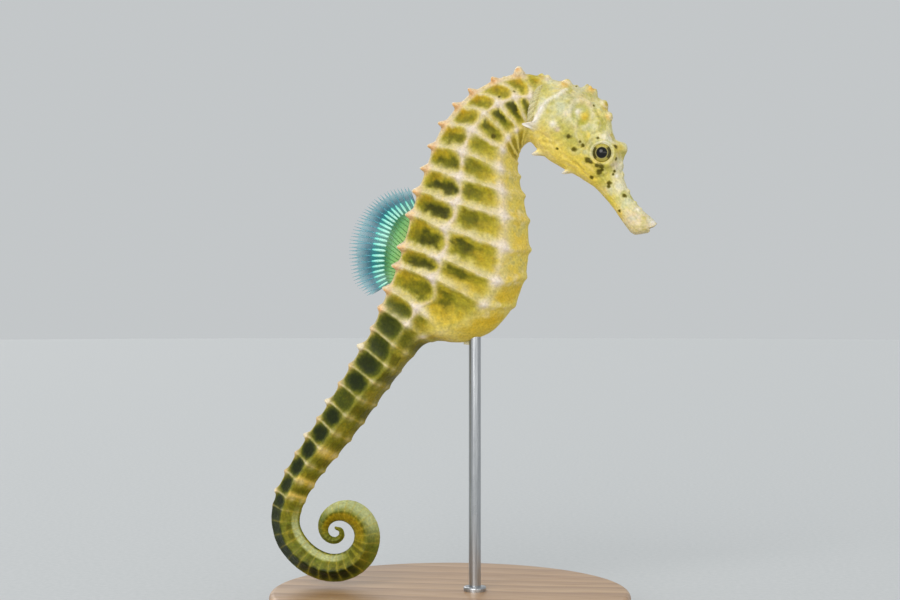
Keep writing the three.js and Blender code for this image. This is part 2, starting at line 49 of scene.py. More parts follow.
# ---- the body's sizes, as in the CAD model

# Section shapes: five corners from the back to the keel, [outwards, towards the back], in half widths
# and half depths, then how far each face between them swells.
SECTIONS = {
    "tube": ([(0, 1), (0.71, 0.71), (1, 0), (0.71, -0.71), (0, -1)], (0.076, 0.076, 0.076, 0.076)),
    "face": ([(0, 1), (0.66, 0.72), (1, 0.12), (0.74, -0.58), (0, -1)], (0.05, 0.07, 0.09, 0.08)),
    "skull": ([(0, 1), (0.5, 0.9), (1, 0.22), (0.8, -0.55), (0, -1)], (0.03, 0.08, 0.1, 0.08)),
    "neck": ([(0, 0.95), (0.5, 1), (1, 0.3), (0.8, -0.55), (0, -1)], (0, 0.05, 0.06, 0.06)),
    "trunk": ([(0, 0.92), (0.5, 1), (1, 0.27), (0.78, -0.6), (0, -1)], (0, 0.02, 0.03, 0.03)),
    "belly": ([(0, 0.92), (0.5, 1), (1, 0.38), (0.8, -0.62), (0, -1)], (0, 0.01, 0.04, 0.04)),
    "hip": ([(0, 0.93), (0.56, 1), (1, 0.22), (0.76, -0.55), (0, -1)], (0, 0.01, 0.03, 0.05)),
    "rump": ([(0, 0.93), (0.68, 1), (1, -0.13), (0.7, -0.7), (0, -1)], (0, 0, 0.03, 0.05)),
    "root": ([(0, 0.93), (0.76, 1), (1, -0.33), (0.64, -0.84), (0, -1)], (0, -0.01, 0.04, 0.05)),
    "tail": ([(0, 0.93), (0.95, 1), (1, -0.85), (0.52, -1), (0, -1.06)], (0, -0.03, 0.02, 0.01)),
}

# Ribs from lips to rump: back x, z, belly x, z, half width, section.
RIBS = [
    (41.1, 79.0, 39.3, 77.2, 1.45, "tube"),  # lips
    (40.0, 80.2, 36.5, 77.0, 2.15, "tube"),  # mouth
    (38.4, 81.6, 34.6, 79.1, 1.95, "tube"),  # snout end
    (36.2, 84.3, 32.4, 82.3, 1.9, "tube"),  # snout middle
    (34.5, 88.4, 29.1, 86.0, 2.6, "tube"),  # snout base
    (34.1, 92.2, 25.6, 88.4, 3.9, "face"),  # eye front
    (32.6, 96.6, 22.4, 90.2, 4.9, "face"),  # eye rear
    (31.7, 100.5, 19.7, 91.9, 5.3, "skull"),  # forehead
    (29.1, 104.4, 17.6, 93.9, 5.4, "skull"),  # crown
    (24.8, 106.4, 16.5, 95.2, 5.3, "skull"),  # back of head
    (19.4, 107.9, 15.9, 95.4, 4.9, "neck"),  # nape
    (14.1, 108.8, 15.2, 95.0, 4.9, "neck"),  # ring 1
    (9.3, 107.6, 14.6, 94.4, 5.1, "neck"),
    (5.0, 105.3, 14.1, 93.5, 5.4, "neck"),
    (2.0, 102.6, 13.8, 92.6, 5.8, "trunk"),
    (-0.8, 99.0, 13.6, 91.2, 6.2, "trunk"),  # ring 5
    (-2.9, 94.7, 13.8, 88.6, 6.6, "trunk"),
    (-4.3, 90.3, 14.6, 84.8, 7.0, "trunk"),
    (-5.9, 85.8, 15.5, 79.9, 7.4, "trunk"),
    (-7.2, 81.2, 15.8, 74.2, 7.6, "belly"),
    (-8.9, 74.9, 15.1, 68.8, 7.5, "belly"),  # ring 10
    (-10.0, 71.1, 13.0, 63.2, 7.0, "belly"),
    (-10.9, 68.8, 8.6, 57.9, 6.3, "hip"),  # corner of the belly, between two rings
    (-12.0, 66.2, 2.6, 55.6, 5.6, "hip"),  # ring 12
    (-13.7, 62.2, -4.0, 55.6, 4.9, "rump"),
]
TAIL_START = len(RIBS)

TAIL_ROOT = (-11.77, 54.95)
TAIL_LENGTH = 89.5
TAIL_HEADINGS = [
    (0, -127), (12, -123.4), (26, -126.6), (34, -119), (40, -103), (46, -62), (54, -21), (60, 22),
    (66, 74), (72, 137), (76, 187), (80, 240), (84, 326), (87, 421), (89.5, 550),
]
TAIL_HALF_DEPTHS = [
    (0, 4.7), (8, 4.2), (20, 3.8), (34, 3.1), (54, 2.95), (68, 2.55), (74, 2.3), (79, 1.5), (83, 0.9),
    (87, 0.62), (89.5, 0.35),
]
TAIL_WIDTH_RATIO = 0.95
TAIL_TURNS = [(0, 8), (12, 26), (30, 40), (45, 50), (89.5, 50)]
TAIL_RING_FIRST = 4.4
TAIL_RING_LAST = 1.0

# Ribs with tall spines on the tail.
TALL_RINGS = (23, 26, 29, 31, 34)

EYE_CENTRE = (30.5, 3.1, 92.7)
EYE_RADIUS = 2.05

BASE_RADIUS = 36
BASE_HEIGHT = 6
ROD_RADIUS = 1.2
ROD_X = 5.0
ROD_TOP = 59.2

# Camera: level and turned a little to the animal's front. At its distance a millimetre of the animal's
# middle plane is five pixels of the 900-pixel picture.
CAMERA_YAW = 8.0
CAMERA_DISTANCE = 336.0
CAMERA_HEIGHT = 64.0
MM_PER_PIXEL = 0.2
IMAGE_WIDTH = 900
SENSOR_WIDTH = 36.0

# ---- small numeric helpers


def eased(pairs, x):
    """Smooth value at x of a list of (x, value) pairs."""
    xs, ys = np.array(pairs, float).T
    x = np.clip(np.asarray(x, float), xs[0], xs[-1])
    before = np.r_[0, 0:len(xs) - 1]
    after = np.r_[1:len(xs), len(xs) - 1]
    slopes = (ys[after] - ys[before]) / (xs[after] - xs[before])
    i = np.clip(np.searchsorted(xs, x, side="right") - 1, 0, len(xs) - 2)
    width = xs[i + 1] - xs[i]
    t = (x - xs[i]) / width
    rise = ys[i + 1] - ys[i]
    m0, m1 = slopes[i] * width, slopes[i + 1] * width
    return ys[i] + m0 * t + (3 * rise - 2 * m0 - m1) * t**2 + (m0 + m1 - 2 * rise) * t**3


def spline(values, u):
    """Catmull-Rom value at u of rows of values, one row for each whole u."""
    values = np.asarray(values, float)
    flat = values.reshape(len(values), -1)
    padded = np.vstack([2 * flat[0] - flat[1], flat, 2 * flat[-1] - flat[-2]])
    u = np.asarray(u, float)
    i = np.clip(np.floor(u).astype(int), 0, len(values) - 2)
    t = (u - i)[:, None]
    p0, p1, p2, p3 = (padded[i + k] for k in range(4))
    m1, m2 = (p2 - p0) / 2, (p3 - p1) / 2
    result = p1 + m1 * t + (3 * (p2 - p1) - 2 * m1 - m2) * t**2 + (m1 + m2 - 2 * (p2 - p1)) * t**3
    return result.reshape((len(u),) + values.shape[1:])


def smoothstep(low, high, x):
    t = np.clip((x - low) / (high - low), 0, 1)
    return t * t * (3 - 2 * t)


def window(x, start, full, fade, end):
    """0 before start, 1 from full to fade, 0 again after end."""
    return smoothstep(start, full, x) * (1 - smoothstep(fade, end, x))


def bell(distance, spread):
    """1 at distance 0, falling like a bell curve."""
    return np.exp(-(distance / spread) ** 2)


def thorn(distance, radius):
    """Profile of a blunt spine with a flared foot: 1 at its middle, near 0 at twice its radius."""
    return 1 / (1 + (distance / radius) ** 2) ** 2


def knob(distance, radius):
    """Profile of a round knob: nearly level at its middle, near 0 past one and a half times its radius."""
    return np.exp(-np.abs(distance / radius) ** 2.4)


def unit(vectors):
    return vectors / np.maximum(np.linalg.norm(vectors, axis=-1, keepdims=True), 1e-9)


def lattice_noise(points, cell, seed):
    """Smooth noise from -1 to 1 at 3-D points, from a random value at each corner of a lattice."""
    q = points / cell
    base = np.floor(q).astype(np.int64)
    f = q - base
    f = f * f * (3 - 2 * f)
    total = np.zeros(points.shape[:-1])
    for corner in np.ndindex(2, 2, 2):
        at = base + np.array(corner)
        h = (at[..., 0] * 73856093) ^ (at[..., 1] * 19349663) ^ (at[..., 2] * 83492791) ^ (seed * 7919)
        h = (h ^ (h >> 13)) * 1274126177
        value = ((h ^ (h >> 16)) & 0xFFFF) / 32767.5 - 1
        total += value * np.prod(np.where(np.array(corner) == 1, f, 1 - f), axis=-1)
    return total


def colour(r, g, b):
    """A display colour, 0 to 255, as numbers from 0 to 1."""
    return np.array([r, g, b]) / 255


def linear(rgb):
    """Display colours as the linear values that shaders take."""
    rgb = np.asarray(rgb, float)
    return np.where(rgb <= 0.04045, rgb / 12.92, ((rgb + 0.055) / 1.055) ** 2.4)


# ---- the body's plain form


def tail_points(lengths):
    step = 0.05
    s = np.arange(step / 2, TAIL_LENGTH, step)
    heading = np.radians(eased(TAIL_HEADINGS, s))
    x = TAIL_ROOT[0] + np.r_[0, np.cumsum(step * np.cos(heading))]
    z = TAIL_ROOT[1] + np.r_[0, np.cumsum(step * np.sin(heading))]
    at = np.arange(len(x)) * step
    return np.interp(lengths, at, x), np.interp(lengths, at, z)


def tail_ring_lengths():
    lengths = [0.0]
    while lengths[-1] < TAIL_LENGTH:
        s = lengths[-1]
        step = TAIL_RING_LAST + (TAIL_RING_FIRST - TAIL_RING_LAST) * (1 - (s / TAIL_LENGTH) ** 2)
        lengths.append(min(s + step, TAIL_LENGTH))
    return np.array(lengths)


def all_ribs():
    """Arrays over all ribs: back, belly, width ratio, corners, swell and turn."""
    rows = np.array([rib[:5] for rib in RIBS])
    depth = np.hypot(rows[:, 0] - rows[:, 2], rows[:, 1] - rows[:, 3]) / 2
    s = tail_ring_lengths()
    middle = np.stack(tail_points(s), axis=1)
    heading = np.radians(eased(TAIL_HEADINGS, s))
    half = eased(TAIL_HALF_DEPTHS, s)
    away = np.stack([np.sin(heading) * half, -np.cos(heading) * half], axis=1)
    names = [rib[5] for rib in RIBS] + ["root"] + ["tail"] * (len(s) - 1)
    return {
        "back": np.vstack([rows[:, 0:2], middle + away]),
        "belly": np.vstack([rows[:, 2:4], middle - away]),
        "ratio": np.r_[rows[:, 4] / depth, np.full(len(s), TAIL_WIDTH_RATIO)],
        "corners": np.array([SECTIONS[name][0] for name in names], float),
        "swell": np.array([SECTIONS[name][1] for name in names], float),
        "turn": np.r_[np.zeros(len(RIBS)), eased(TAIL_TURNS, s)],
    }


BODY = all_ribs()
LAST_RIB = len(BODY["back"]) - 1

# How far a section's corners are rounded, in way, at some ribs.
ROUNDING = ([0, 5, 9, 11, 14, 20, 26], [0.5, 0.5, 0.42, 0.28, 0.18, 0.16, 0.13])
HARMONICS = 40


def outlines(u, ways):
    """Section outlines: for each u and way, how far right and how far towards the back, in mm."""
    corners = spline(BODY["corners"], u)
    swell = spline(BODY["swell"], u)
    ratio = spline(BODY["ratio"], u)
    turn = spline(BODY["turn"], u)
    depth = np.linalg.norm(spline(BODY["back"], u) - spline(BODY["belly"], u), axis=1) / 2
    corners[:, :, 0] *= ratio[:, None]
    # The cornered outline at even steps of way, as complex numbers: right + i * towards the back.
    steps = np.arange(192) * 8 / 192
    half = np.where(steps <= 4, steps, 8 - steps)
    face = np.minimum(np.floor(half).astype(int), 3)
    t = half - face
    a, b = corners[:, face], corners[:, face + 1]
    edge = b - a
    length = np.maximum(np.linalg.norm(edge, axis=2, keepdims=True), 1e-9)
    out = (swell[:, face] * 4 * t * (1 - t))[:, :, None]
    points = a + edge * t[None, :, None] + np.stack([-edge[..., 1], edge[..., 0]], axis=2) / length * out
    ring = np.where(steps <= 4, 1, -1) * points[..., 0] + 1j * points[..., 1]
    # Its Fourier series, with the high terms damped, gives the same outline with rounded corners.
    order = np.arange(-HARMONICS, HARMONICS + 1)
    angle = 2 * math.pi / 8 * order
    series = ring @ np.exp(-1j * np.outer(steps, angle)) / len(steps)
    series *= np.exp(-0.5 * (np.interp(u, *ROUNDING)[:, None] * angle[None, :]) ** 2)
    ring = series @ np.exp(1j * np.outer(angle, ways)) * np.exp(1j * np.radians(turn))[:, None]
    top, bottom = ring.imag.max(1, keepdims=True), ring.imag.min(1, keepdims=True)
    ring = (ring - 1j * (top + bottom) / 2) * depth[:, None] * 2 / (top - bottom)
    widest = np.abs(ring.real).max(1)
    level = smoothstep(0, 10, turn)
    spread = (ratio * depth / widest) * (1 - level) + level
    return ring.real * spread[:, None], ring.imag


def plain_surface(u, ways):
    """Points of the body's plain form on a grid, shape (len(u), len(ways), 3)."""
    back, belly = spline(BODY["back"], u), spline(BODY["belly"], u)
    middle = (back + belly) / 2
    up = unit(back - belly)
    right, high = outlines(u, ways)
    x = middle[:, None, 0] + up[:, None, 0] * high
    z = middle[:, None, 1] + up[:, None, 1] * high
    return np.stack([x, -right, z], axis=2)


# ---- the skin's grid

COLUMNS = 256
ROW_STEP = 0.115
# Columns crowd towards the ridges, where the way is a whole number.
CROWDING = 0.45

# How far ring lines sag towards the tail, in ribs, where they cross the two side ridges: by rib.
UPPER_SAG = [
    (9.6, -0.45), (10.4, -0.58), (11.3, -0.7), (12.3, -0.72), (13.3, -0.68), (14.6, -0.38), (15.8, -0.15),
    (17, 0.05), (18.1, 0.12), (19.1, 0.14), (20.1, 0.08), (21, 0), (23, -0.12), (24, -0.06), (25, 0),
]
LOWER_SAG = [
    (9, -1.2), (9.8, -1.4), (10.6, -1.35), (11.8, -1.2), (13, -0.95), (14.6, -0.4), (16, 0), (17.1, 0.1),
    (18.1, 0.12), (19.2, 0.2), (20.4, 0.4), (21.25, 0.27), (22.6, 0.3), (24, 0),
]
# Ring count by rib. The corner of the belly lies between rings 11 and 12.
RING_COUNT = [
    (0, -10), (20, 10), (21, 11), (22, 11.53), (23, 12.08), (24, 13.15), (25, 14.22), (26, 15.28),
    (31, 20.28), (33, 22.25), (36, 25.08), (38, 27), (LAST_RIB, LAST_RIB - 11),
]
# The rings of the curl are shorter than its ribs are apart, so there are more of them: by ring count.
EXTRA_CURL_RINGS = [
    (0, 0), (22.9, 0), (23.6, 0.35), (25, 1.3), (30, 4.8), (LAST_RIB - 11, 4.8 + 0.7 * (LAST_RIB - 41)),
]
# How far the upper side ridge bows towards the keel between two rings, in way: by ring count.
RIDGE_BOW = [(5, 0), (7, 0.06), (8, 0.1), (10.5, 0.1), (12, 0.07), (13, 0)]


class Grid:
    """The body's surface on a fine grid, and where each point is among its rings and ridges."""

    def __init__(self):
        self.u = self.rows()
        even = np.arange(COLUMNS) * 8 / COLUMNS
        self.ways = even - CROWDING * np.sin(2 * math.pi * even) / (2 * math.pi)
        self.points = plain_surface(self.u, self.ways)
        self.plain = self.points.copy()
        self.shape = self.points.shape[:2]
        along = np.gradient(self.points, axis=0)
        around = (np.roll(self.points, -1, axis=1) - np.roll(self.points, 1, axis=1)) / 2
        self.normals = unit(np.cross(along, around))
        self.tailwards = unit(along)
        self.half_way = np.broadcast_to(np.where(self.ways <= 4, self.ways, 8 - self.ways), self.shape)
        way_steps = np.mod((np.roll(self.ways, -1) - np.roll(self.ways, 1)), 8) / 2
        self.per_way = np.linalg.norm(around, axis=2) / way_steps
        self.rib = np.broadcast_to(self.u[:, None], self.shape)
        depth = np.linalg.norm(spline(BODY["back"], self.u) - spline(BODY["belly"], self.u), axis=1) / 2
        self.depth = np.broadcast_to(depth[:, None], self.shape)
        self.find_rings()

    def rows(self):
        """Rib numbers of the rows, at even steps along the mean of the back and the middle line."""
        u = np.linspace(0, LAST_RIB, 9000)
        back, belly = spline(BODY["back"], u), spline(BODY["belly"], u)
        steps = [np.linalg.norm(np.diff(line, axis=0), axis=1) for line in (back, (back + belly) / 2)]
        length = np.r_[0, np.cumsum((steps[0] + steps[1]) / 2)]
        count = int(length[-1] / ROW_STEP)
        return np.interp(np.linspace(0, length[-1], count), length, u)

    def find_rings(self):
        raw = self.half_way
        by_upper_ridge = np.sin(np.clip(1 - np.abs(raw - 2), 0, 1) * math.pi / 2) ** 2
        by_lower_ridge = np.sin(np.clip(1 - np.abs(raw - 3), 0, 1) * math.pi / 2) ** 2
        sag = eased(UPPER_SAG, self.rib) * by_upper_ridge + eased(LOWER_SAG, self.rib) * by_lower_ridge
        self.count = eased(RING_COUNT, self.rib - sag)
        self.tally = self.count + eased(EXTRA_CURL_RINGS, self.count)
        self.ring = np.round(self.tally)
        self.plate = self.tally - np.floor(self.tally)
        steps = np.linalg.norm(np.gradient(self.points, axis=0), axis=2)
        self.pitch = steps / np.maximum(np.gradient(self.tally, axis=0), 0.004)
        self.past_ring = (self.tally - self.ring) * self.pitch
        throat = smoothstep(2.7, 3.2, raw) * (1 - smoothstep(2.0, 3.4, self.count))
        self.ringed = smoothstep(0.5, 0.95, self.count) * (1 - throat)
        self.ringed = self.ringed * (1 - smoothstep(LAST_RIB - 8, LAST_RIB - 1, self.rib))
        self.small = np.clip(self.pitch / 4.4, 0.15, 1)
        bow = eased(RIDGE_BOW, self.count) * np.sin(math.pi * self.plate) * bell(raw - 2.05, 0.5)
        self.half_way = raw - bow

    def from_ridge(self, ridge):
        """Distance in mm from a ridge of either side."""
        return np.abs(self.half_way - ridge) * self.per_way

    def from_side_place(self, x, z):
        """Distance in mm from a place, seen square on from either side."""
        return np.hypot(self.plain[..., 0] - x, self.plain[..., 2] - z)

    def from_surface_near(self, place):
        """Distance in mm from the right side's surface point nearest to a place, or from its mirror image."""
        left = self.plain[..., 1] > 0.01
        x, y, z = self.plain.reshape(-1, 3)[np.argmin(self.from_place(place) + 9 * left)]
        return self.from_place((x, abs(y), z))

    def seen_near(self, x, z):
        """Distance in mm of the finished surface from a place, seen square on from either side."""
        return np.hypot(self.points[..., 0] - x, self.points[..., 2] - z)

    def from_spot(self, x, z):
        """Distance in mm from the finished skin's point at x, z of the right side, or its mirror image."""
        row, column = np.unravel_index(np.argmin(self.seen_near(x, z)), self.shape)
        centre = self.points[row, column]
        return np.sqrt((self.points[..., 0] - centre[0]) ** 2 + (self.points[..., 2] - centre[2]) ** 2
                       + (np.abs(self.points[..., 1]) - abs(centre[1])) ** 2)

    def from_place(self, place):
        """Distance in mm from a place on the right side, or from its mirror image on the left."""
        x, y, z = place
        return np.sqrt((self.plain[..., 0] - x) ** 2 + (np.abs(self.plain[..., 1]) - y) ** 2
                       + (self.plain[..., 2] - z) ** 2)

    def from_line(self, stops):
        """Distance in mm from a line through (x, z) stops, seen square on from either side."""
        stops = np.array(stops, float)
        steps = np.linspace(0, len(stops) - 1, 12 * len(stops))
        line = spline(stops, steps)
        nearest = np.full(self.shape, 1e9)
        for x, z in line:
            nearest = np.minimum(nearest, self.from_side_place(x, z))
        return nearest


grid = Grid()


def noise(size, seed):
    """Smooth noise from -1 to 1 over the body, in blots about size mm across."""
    return lattice_noise(grid.plain, size, SEED + seed)


# ---- relief: rings, plates and spines

TALL_RING_COUNTS = [rib - 11 for rib in TALL_RINGS]
# Small tubercles of the back between the first two spines: x, distance to either side, z, height, radius.
BACK_KNOBS = [(10.9, 0.5, 108.3, 0.45, 0.6), (8.9, 0.7, 107.9, 0.4, 0.55)]


def spine_height(ridge):
    """How far the spines of a ridge stand out, in mm, at every point by its nearest ring."""
    ring, tail_size = grid.ring, np.clip(grid.depth / 4.5, 0, 1.1)
    tail = ring > 11.5
    curled = smoothstep(22.6, 24.4, grid.count)
    if ridge == 1:
        trunk_height = np.where(ring == 1, 1.25, np.where(ring == 2, 0.85, np.where(ring < 8, 1.2, 1.05)))
        tall = np.isin(ring, TALL_RING_COUNTS)
        return np.where(tail, np.where(tall, 0.95, 0.4) * tail_size * (1 - 0.96 * curled), trunk_height)
    if ridge == 2:
        return np.where(tail, 0.14 * tail_size * (1 - 0.9 * curled), 0.3)
    if ridge == 3:
        return np.where(tail, 0, 0.16)
    return np.where((ring >= 6) & ~tail, 0.2, 0)


def ring_relief():
    """Rise of the bony rings and of the ridges that join them, and the hollows of the plates between."""
    small, plate, half_way = grid.small, grid.plate, grid.half_way
    on_tail = smoothstep(12.2, 15, grid.count)
    under_tail = on_tail * smoothstep(1.95, 2.5, half_way)
    faint = (1 - 0.45 * on_tail) * (1 - 0.85 * under_tail) * (1 - 0.92 * smoothstep(21.8, 24.2, grid.count))
    faint = faint * (1 - 0.85 * window(grid.count, 11.3, 11.6, 12.4, 12.8) * smoothstep(2.1, 2.6, half_way))
    soft_belly = 1 - 0.45 * smoothstep(9, 11, grid.count) * smoothstep(2.5, 3.1, half_way) * (1 - on_tail)
    ring_width = (0.7 - 0.22 * on_tail) * small
    rise = 0.32 * small * bell(grid.past_ring, ring_width) * soft_belly
    across = np.abs(np.sin(math.pi * half_way)) ** 0.8
    hollow = np.sin(math.pi * plate) ** 1.2
    rise -= small * hollow * (0.13 + 0.26 * across * smoothstep(0.7, 1.4, half_way)) * soft_belly
    for ridge, height, width in ((1, 0.14, 0.65), (2, 0.24, 0.65), (3, 0.12, 1.0), (4, 0.08, 0.9)):
        rise += height * small * bell(grid.from_ridge(ridge), width * small) * soft_belly
    at_back_knobs = bell(half_way - 1, 0.35) * (1 - smoothstep(6.5, 8.5, grid.count))
    return rise * faint * grid.ringed * (1 - 0.5 * at_back_knobs)


def spine_relief():
    """Rise at the spines where rings and ridges cross, and how far they lean towards the tail."""
    rise = np.zeros(grid.shape)
    lean = np.zeros(grid.shape)
    shoulder = grid.ring == 1
    for ridge, radius in ((1, 1.0), (2, 0.95), (3, 1.0), (4, 1.1)):
        size = radius * (0.35 + 0.65 * grid.small)
        distance = np.hypot(grid.past_ring, grid.from_ridge(ridge))
        blunt = 0.62 + 0.3 * (1 - smoothstep(6.5, 8.5, grid.count))
        narrow = 0.85 - 0.2 * (ridge == 1) * (1 - smoothstep(6.5, 8.5, grid.count))
        profile = blunt * knob(distance, narrow * size) + (1 - blunt) * thorn(distance, size)
        if ridge == 1:
            tall = np.exp(-distance**4) + 0.12 * thorn(distance, 1.6)
            profile = np.where(shoulder, tall, profile)
        spine = spine_height(ridge) * profile * grid.ringed
        rise += spine
        lean += spine * np.where(shoulder, 0.0, 0.4 if ridge == 1 else 0.2)
    return rise, lean


# ---- relief: head

GILL_COVER = {"centre": (21.6, 3.9, 100.4), "radii": (4.6, 1.9, 5.4), "lean": -35}
GILL_LINE = [(23.4, 105.1), (21.9, 103.8), (19.9, 102.7), (18.7, 101.3), (17.8, 99.6), (17.2, 98.0)]
TEMPLE = (26.4, 100.3)
TEMPLE_HEIGHT = 1.32  # over its width
CHEEK_RIDGE = [(25.6, 98.9), (25.5, 96.4), (26.3, 94.6)]
GILL_FAN = (24.6, 99.6)

# Knobs of the crown, brow and snout: foot x, distance to either side, foot z, height, radius.
HEAD_KNOBS = [
    (18.3, 0.6, 107.9, 0.75, 0.68), (19.6, 0.9, 107.8, 0.75, 0.66), (23.4, 1.0, 106.6, 0.85, 0.95),
    (25.3, 0.8, 106.0, 0.34, 0.5), (30.7, 1.2, 102.6, 0.95, 1.1), (31.7, 1.2, 100.2, 0.8, 0.85),
    (29.3, 3.9, 98.3, 0.4, 0.9), (30.8, 3.3, 96.2, 0.4, 0.9), (33.2, 0.7, 90.4, 0.4, 0.8),
    (34.3, 0.6, 88.7, 0.34, 0.55), (35.5, 0.5, 85.4, 0.3, 0.38), (36.9, 0.5, 83.1, 0.24, 0.34),
    (37.9, 0.5, 81.9, 0.18, 0.28), (26.2, 4.0, 102.7, 0.3, 0.6), (27.8, 3.5, 102.3, 0.3, 0.55),
    (22.7, 2.4, 106.2, 0.25, 0.6), (29.6, 4.4, 100.4, 0.25, 0.6),
]
# Soft swellings of the temple and gill cover, seen from the side: x, z, height, radius.
HEAD_SWELLINGS = [
    (27.2, 99.9, 0.5, 0.8), (25.8, 100.7, 0.25, 0.5), (21.4, 98.2, 0.25, 0.9), (23.5, 100.5, 0.15, 0.5),
]
# Spines of the head: foot x, distance to either side, foot z, direction, height, radius.
HEAD_SPINES = [
    ((17.0, 4.9, 97.9), (-0.95, 0.18, 0.2), 2.3, 0.72),  # gill cover
    ((18.2, 0.9, 93.2), (-0.95, 0.0, -0.2), 1.9, 0.7),  # throat
    ((24.2, 0.9, 89.9), (-0.92, 0.0, -0.3), 1.7, 0.62),  # cheek
]
# The nose spine is a blunt wedge: steep above, and running down the brow in front of the eyes below.
NOSE = {"foot": (33.4, 94.2), "height": 1.75, "above": 0.8, "below": 1.8, "half_width": 1.15, "lift": 0.45}
CORONET = {"centre": (28.0, 105.2), "ring": 1.05, "points": 5, "height": 0.5}


def gill_cover_bulge(y):
    """Half widths of the head with the gill covers standing out of it."""
    cx, cy, cz = GILL_COVER["centre"]
    rx, ry, rz = GILL_COVER["radii"]
    lean = math.radians(GILL_COVER["lean"])
    dx, dz = grid.plain[..., 0] - cx, grid.plain[..., 2] - cz
    a = (dx * math.cos(lean) - dz * math.sin(lean)) / rx
    b = (dx * math.sin(lean) + dz * math.cos(lean)) / rz
    cover = cy + ry * np.sqrt(np.clip(1 - a**2 - b**2, 0, 1))
    cover = np.where(a**2 + b**2 < 1, cover, 0)
    return (y + cover + np.sqrt((y - cover) ** 2 + 0.09)) / 2


# Height of the skin round an eye, beside the middle plane, by distance from the eye's axis.
ORBIT = ([0, 1.5, 1.72, 1.86, 2.05, 2.4, 2.8, 3.4], [2.3, 2.7, 3.93, 4.1, 4.2, 4.27, 4.31, 4.33])


def orbit_bulge(y):
    """Half widths of the head with lids round the eyes and a socket under each."""
    distance = grid.from_side_place(EYE_CENTRE[0], EYE_CENTRE[2])
    wander = 0.16 * noise(0.9, 7)
    folds = 0.045 * np.cos(2 * math.pi * (distance + wander) / 0.36) * window(distance, 1.9, 2.1, 3.0, 4.0)
    lids = np.interp(distance, *ORBIT) + folds
    near = 1 - smoothstep(2.3, 3.7, distance)
    return y * (1 - near) + lids * near


def from_temple():
    """Distance in mm from the middle of the temple, shortened upright, so that its ring stands tall."""
    return np.hypot(grid.plain[..., 0] - TEMPLE[0], (grid.plain[..., 2] - TEMPLE[1]) / TEMPLE_HEIGHT)


def head_relief():
    """Rise of the head's folds, knobs and ridges along the surface's normals."""
    rise = 0.42 * bell(grid.from_line(GILL_LINE), 0.5)
    beside = bell(grid.rib - 8, 3.2)
    stretch = from_temple()
    uneven = 1 + 0.5 * noise(1.3, 8)
    rise += 0.17 * uneven * bell(stretch - 2.15, 0.45) - 0.3 * bell(stretch, 1.5)
    for x, z, height, radius in HEAD_SWELLINGS:
        rise += height * bell(grid.from_side_place(x, z), radius)
    rise += 0.3 * bell(grid.from_line(CHEEK_RIDGE), 0.4)
    rise -= 0.25 * bell(grid.from_line([(26.6, 92.8), (25.4, 90.2)]), 1.2)
    for x, side, z, height, radius in HEAD_KNOBS:
        rise += height * knob(grid.from_surface_near((x, side, z)), radius)
    rise += coronet_rise()
    rise += 0.07 * noise(0.9, 5) * beside
    rise += snout_folds() + head_folds()
    return rise


# Folds in the skin of the head: the (x, z) stops of each, and its depth and width in mm.
HEAD_FOLDS = [
    ([(32.6, 90.0), (30.2, 89.4), (28.2, 90.4), (26.6, 92.6)], 0.11, 0.26),
    ([(31.6, 88.4), (29.2, 87.9), (27.0, 88.9), (25.2, 90.8)], 0.08, 0.26),
    ([(27.6, 94.6), (27.4, 93.0), (27.9, 91.4)], 0.1, 0.24),
    ([(28.6, 96.2), (30.4, 96.9), (32.2, 96.2)], 0.1, 0.24),
    ([(28.2, 97.8), (30.2, 98.4), (32.0, 97.8)], 0.07, 0.26),
    ([(24.6, 97.4), (23.0, 95.4), (21.0, 94.6), (19.0, 95.0)], 0.09, 0.32),
    ([(23.0, 103.4), (22.4, 100.6), (20.6, 98.6), (18.6, 97.6)], 0.07, 0.3),
    ([(24.4, 102.6), (23.8, 100.0), (22.4, 98.2)], 0.06, 0.28),
    ([(22.0, 92.9), (24.4, 91.2), (27.0, 88.8)], 0.06, 0.24),
    ([(29.9, 103.0), (29.4, 101.4), (30.0, 99.8)], 0.08, 0.28),
]


def head_folds():
    """Grooves with a soft lip to either side, and fine rays over the gill cover."""
    rise = np.zeros(grid.shape)
    uneven = 1 + 0.5 * noise(1.4, 6)
    for stops, depth, width in HEAD_FOLDS:
        away = grid.from_line(stops)
        rise += depth * uneven * (0.55 * bell(away - 2.1 * width, width) - bell(away, width))
    x, z = GILL_FAN
    turn = np.arctan2(grid.plain[..., 2] - z, x - grid.plain[..., 0])
    reach = grid.from_side_place(x, z)
    rays = np.sin(turn * 17 + 1.4 * noise(1.6, 7))
    over_cover = window(reach, 1.6, 2.8, 5.4, 6.6) * window(turn, -1.2, -0.9, 0.9, 1.2)
    return rise + 0.035 * rays * over_cover * uneven


def snout_folds():
    """Fine lengthwise folds of the snout and cheek, and rings of skin behind the lips."""
    wander = noise(2.0, 9)
    lengthwise = np.sin(2 * math.pi * (grid.half_way * 2.3 + 0.8 * wander))
    behind_lips = np.cos(2 * math.pi * (grid.rib + 0.08 * wander) / 0.42)
    on_snout = window(grid.rib, 1.6, 2.6, 5.5, 7.5) * window(grid.half_way, 0.6, 1.2, 3.2, 3.8)
    return 0.016 * lengthwise * on_snout + 0.018 * behind_lips * window(grid.rib, 0.35, 0.7, 1.6, 2.4)


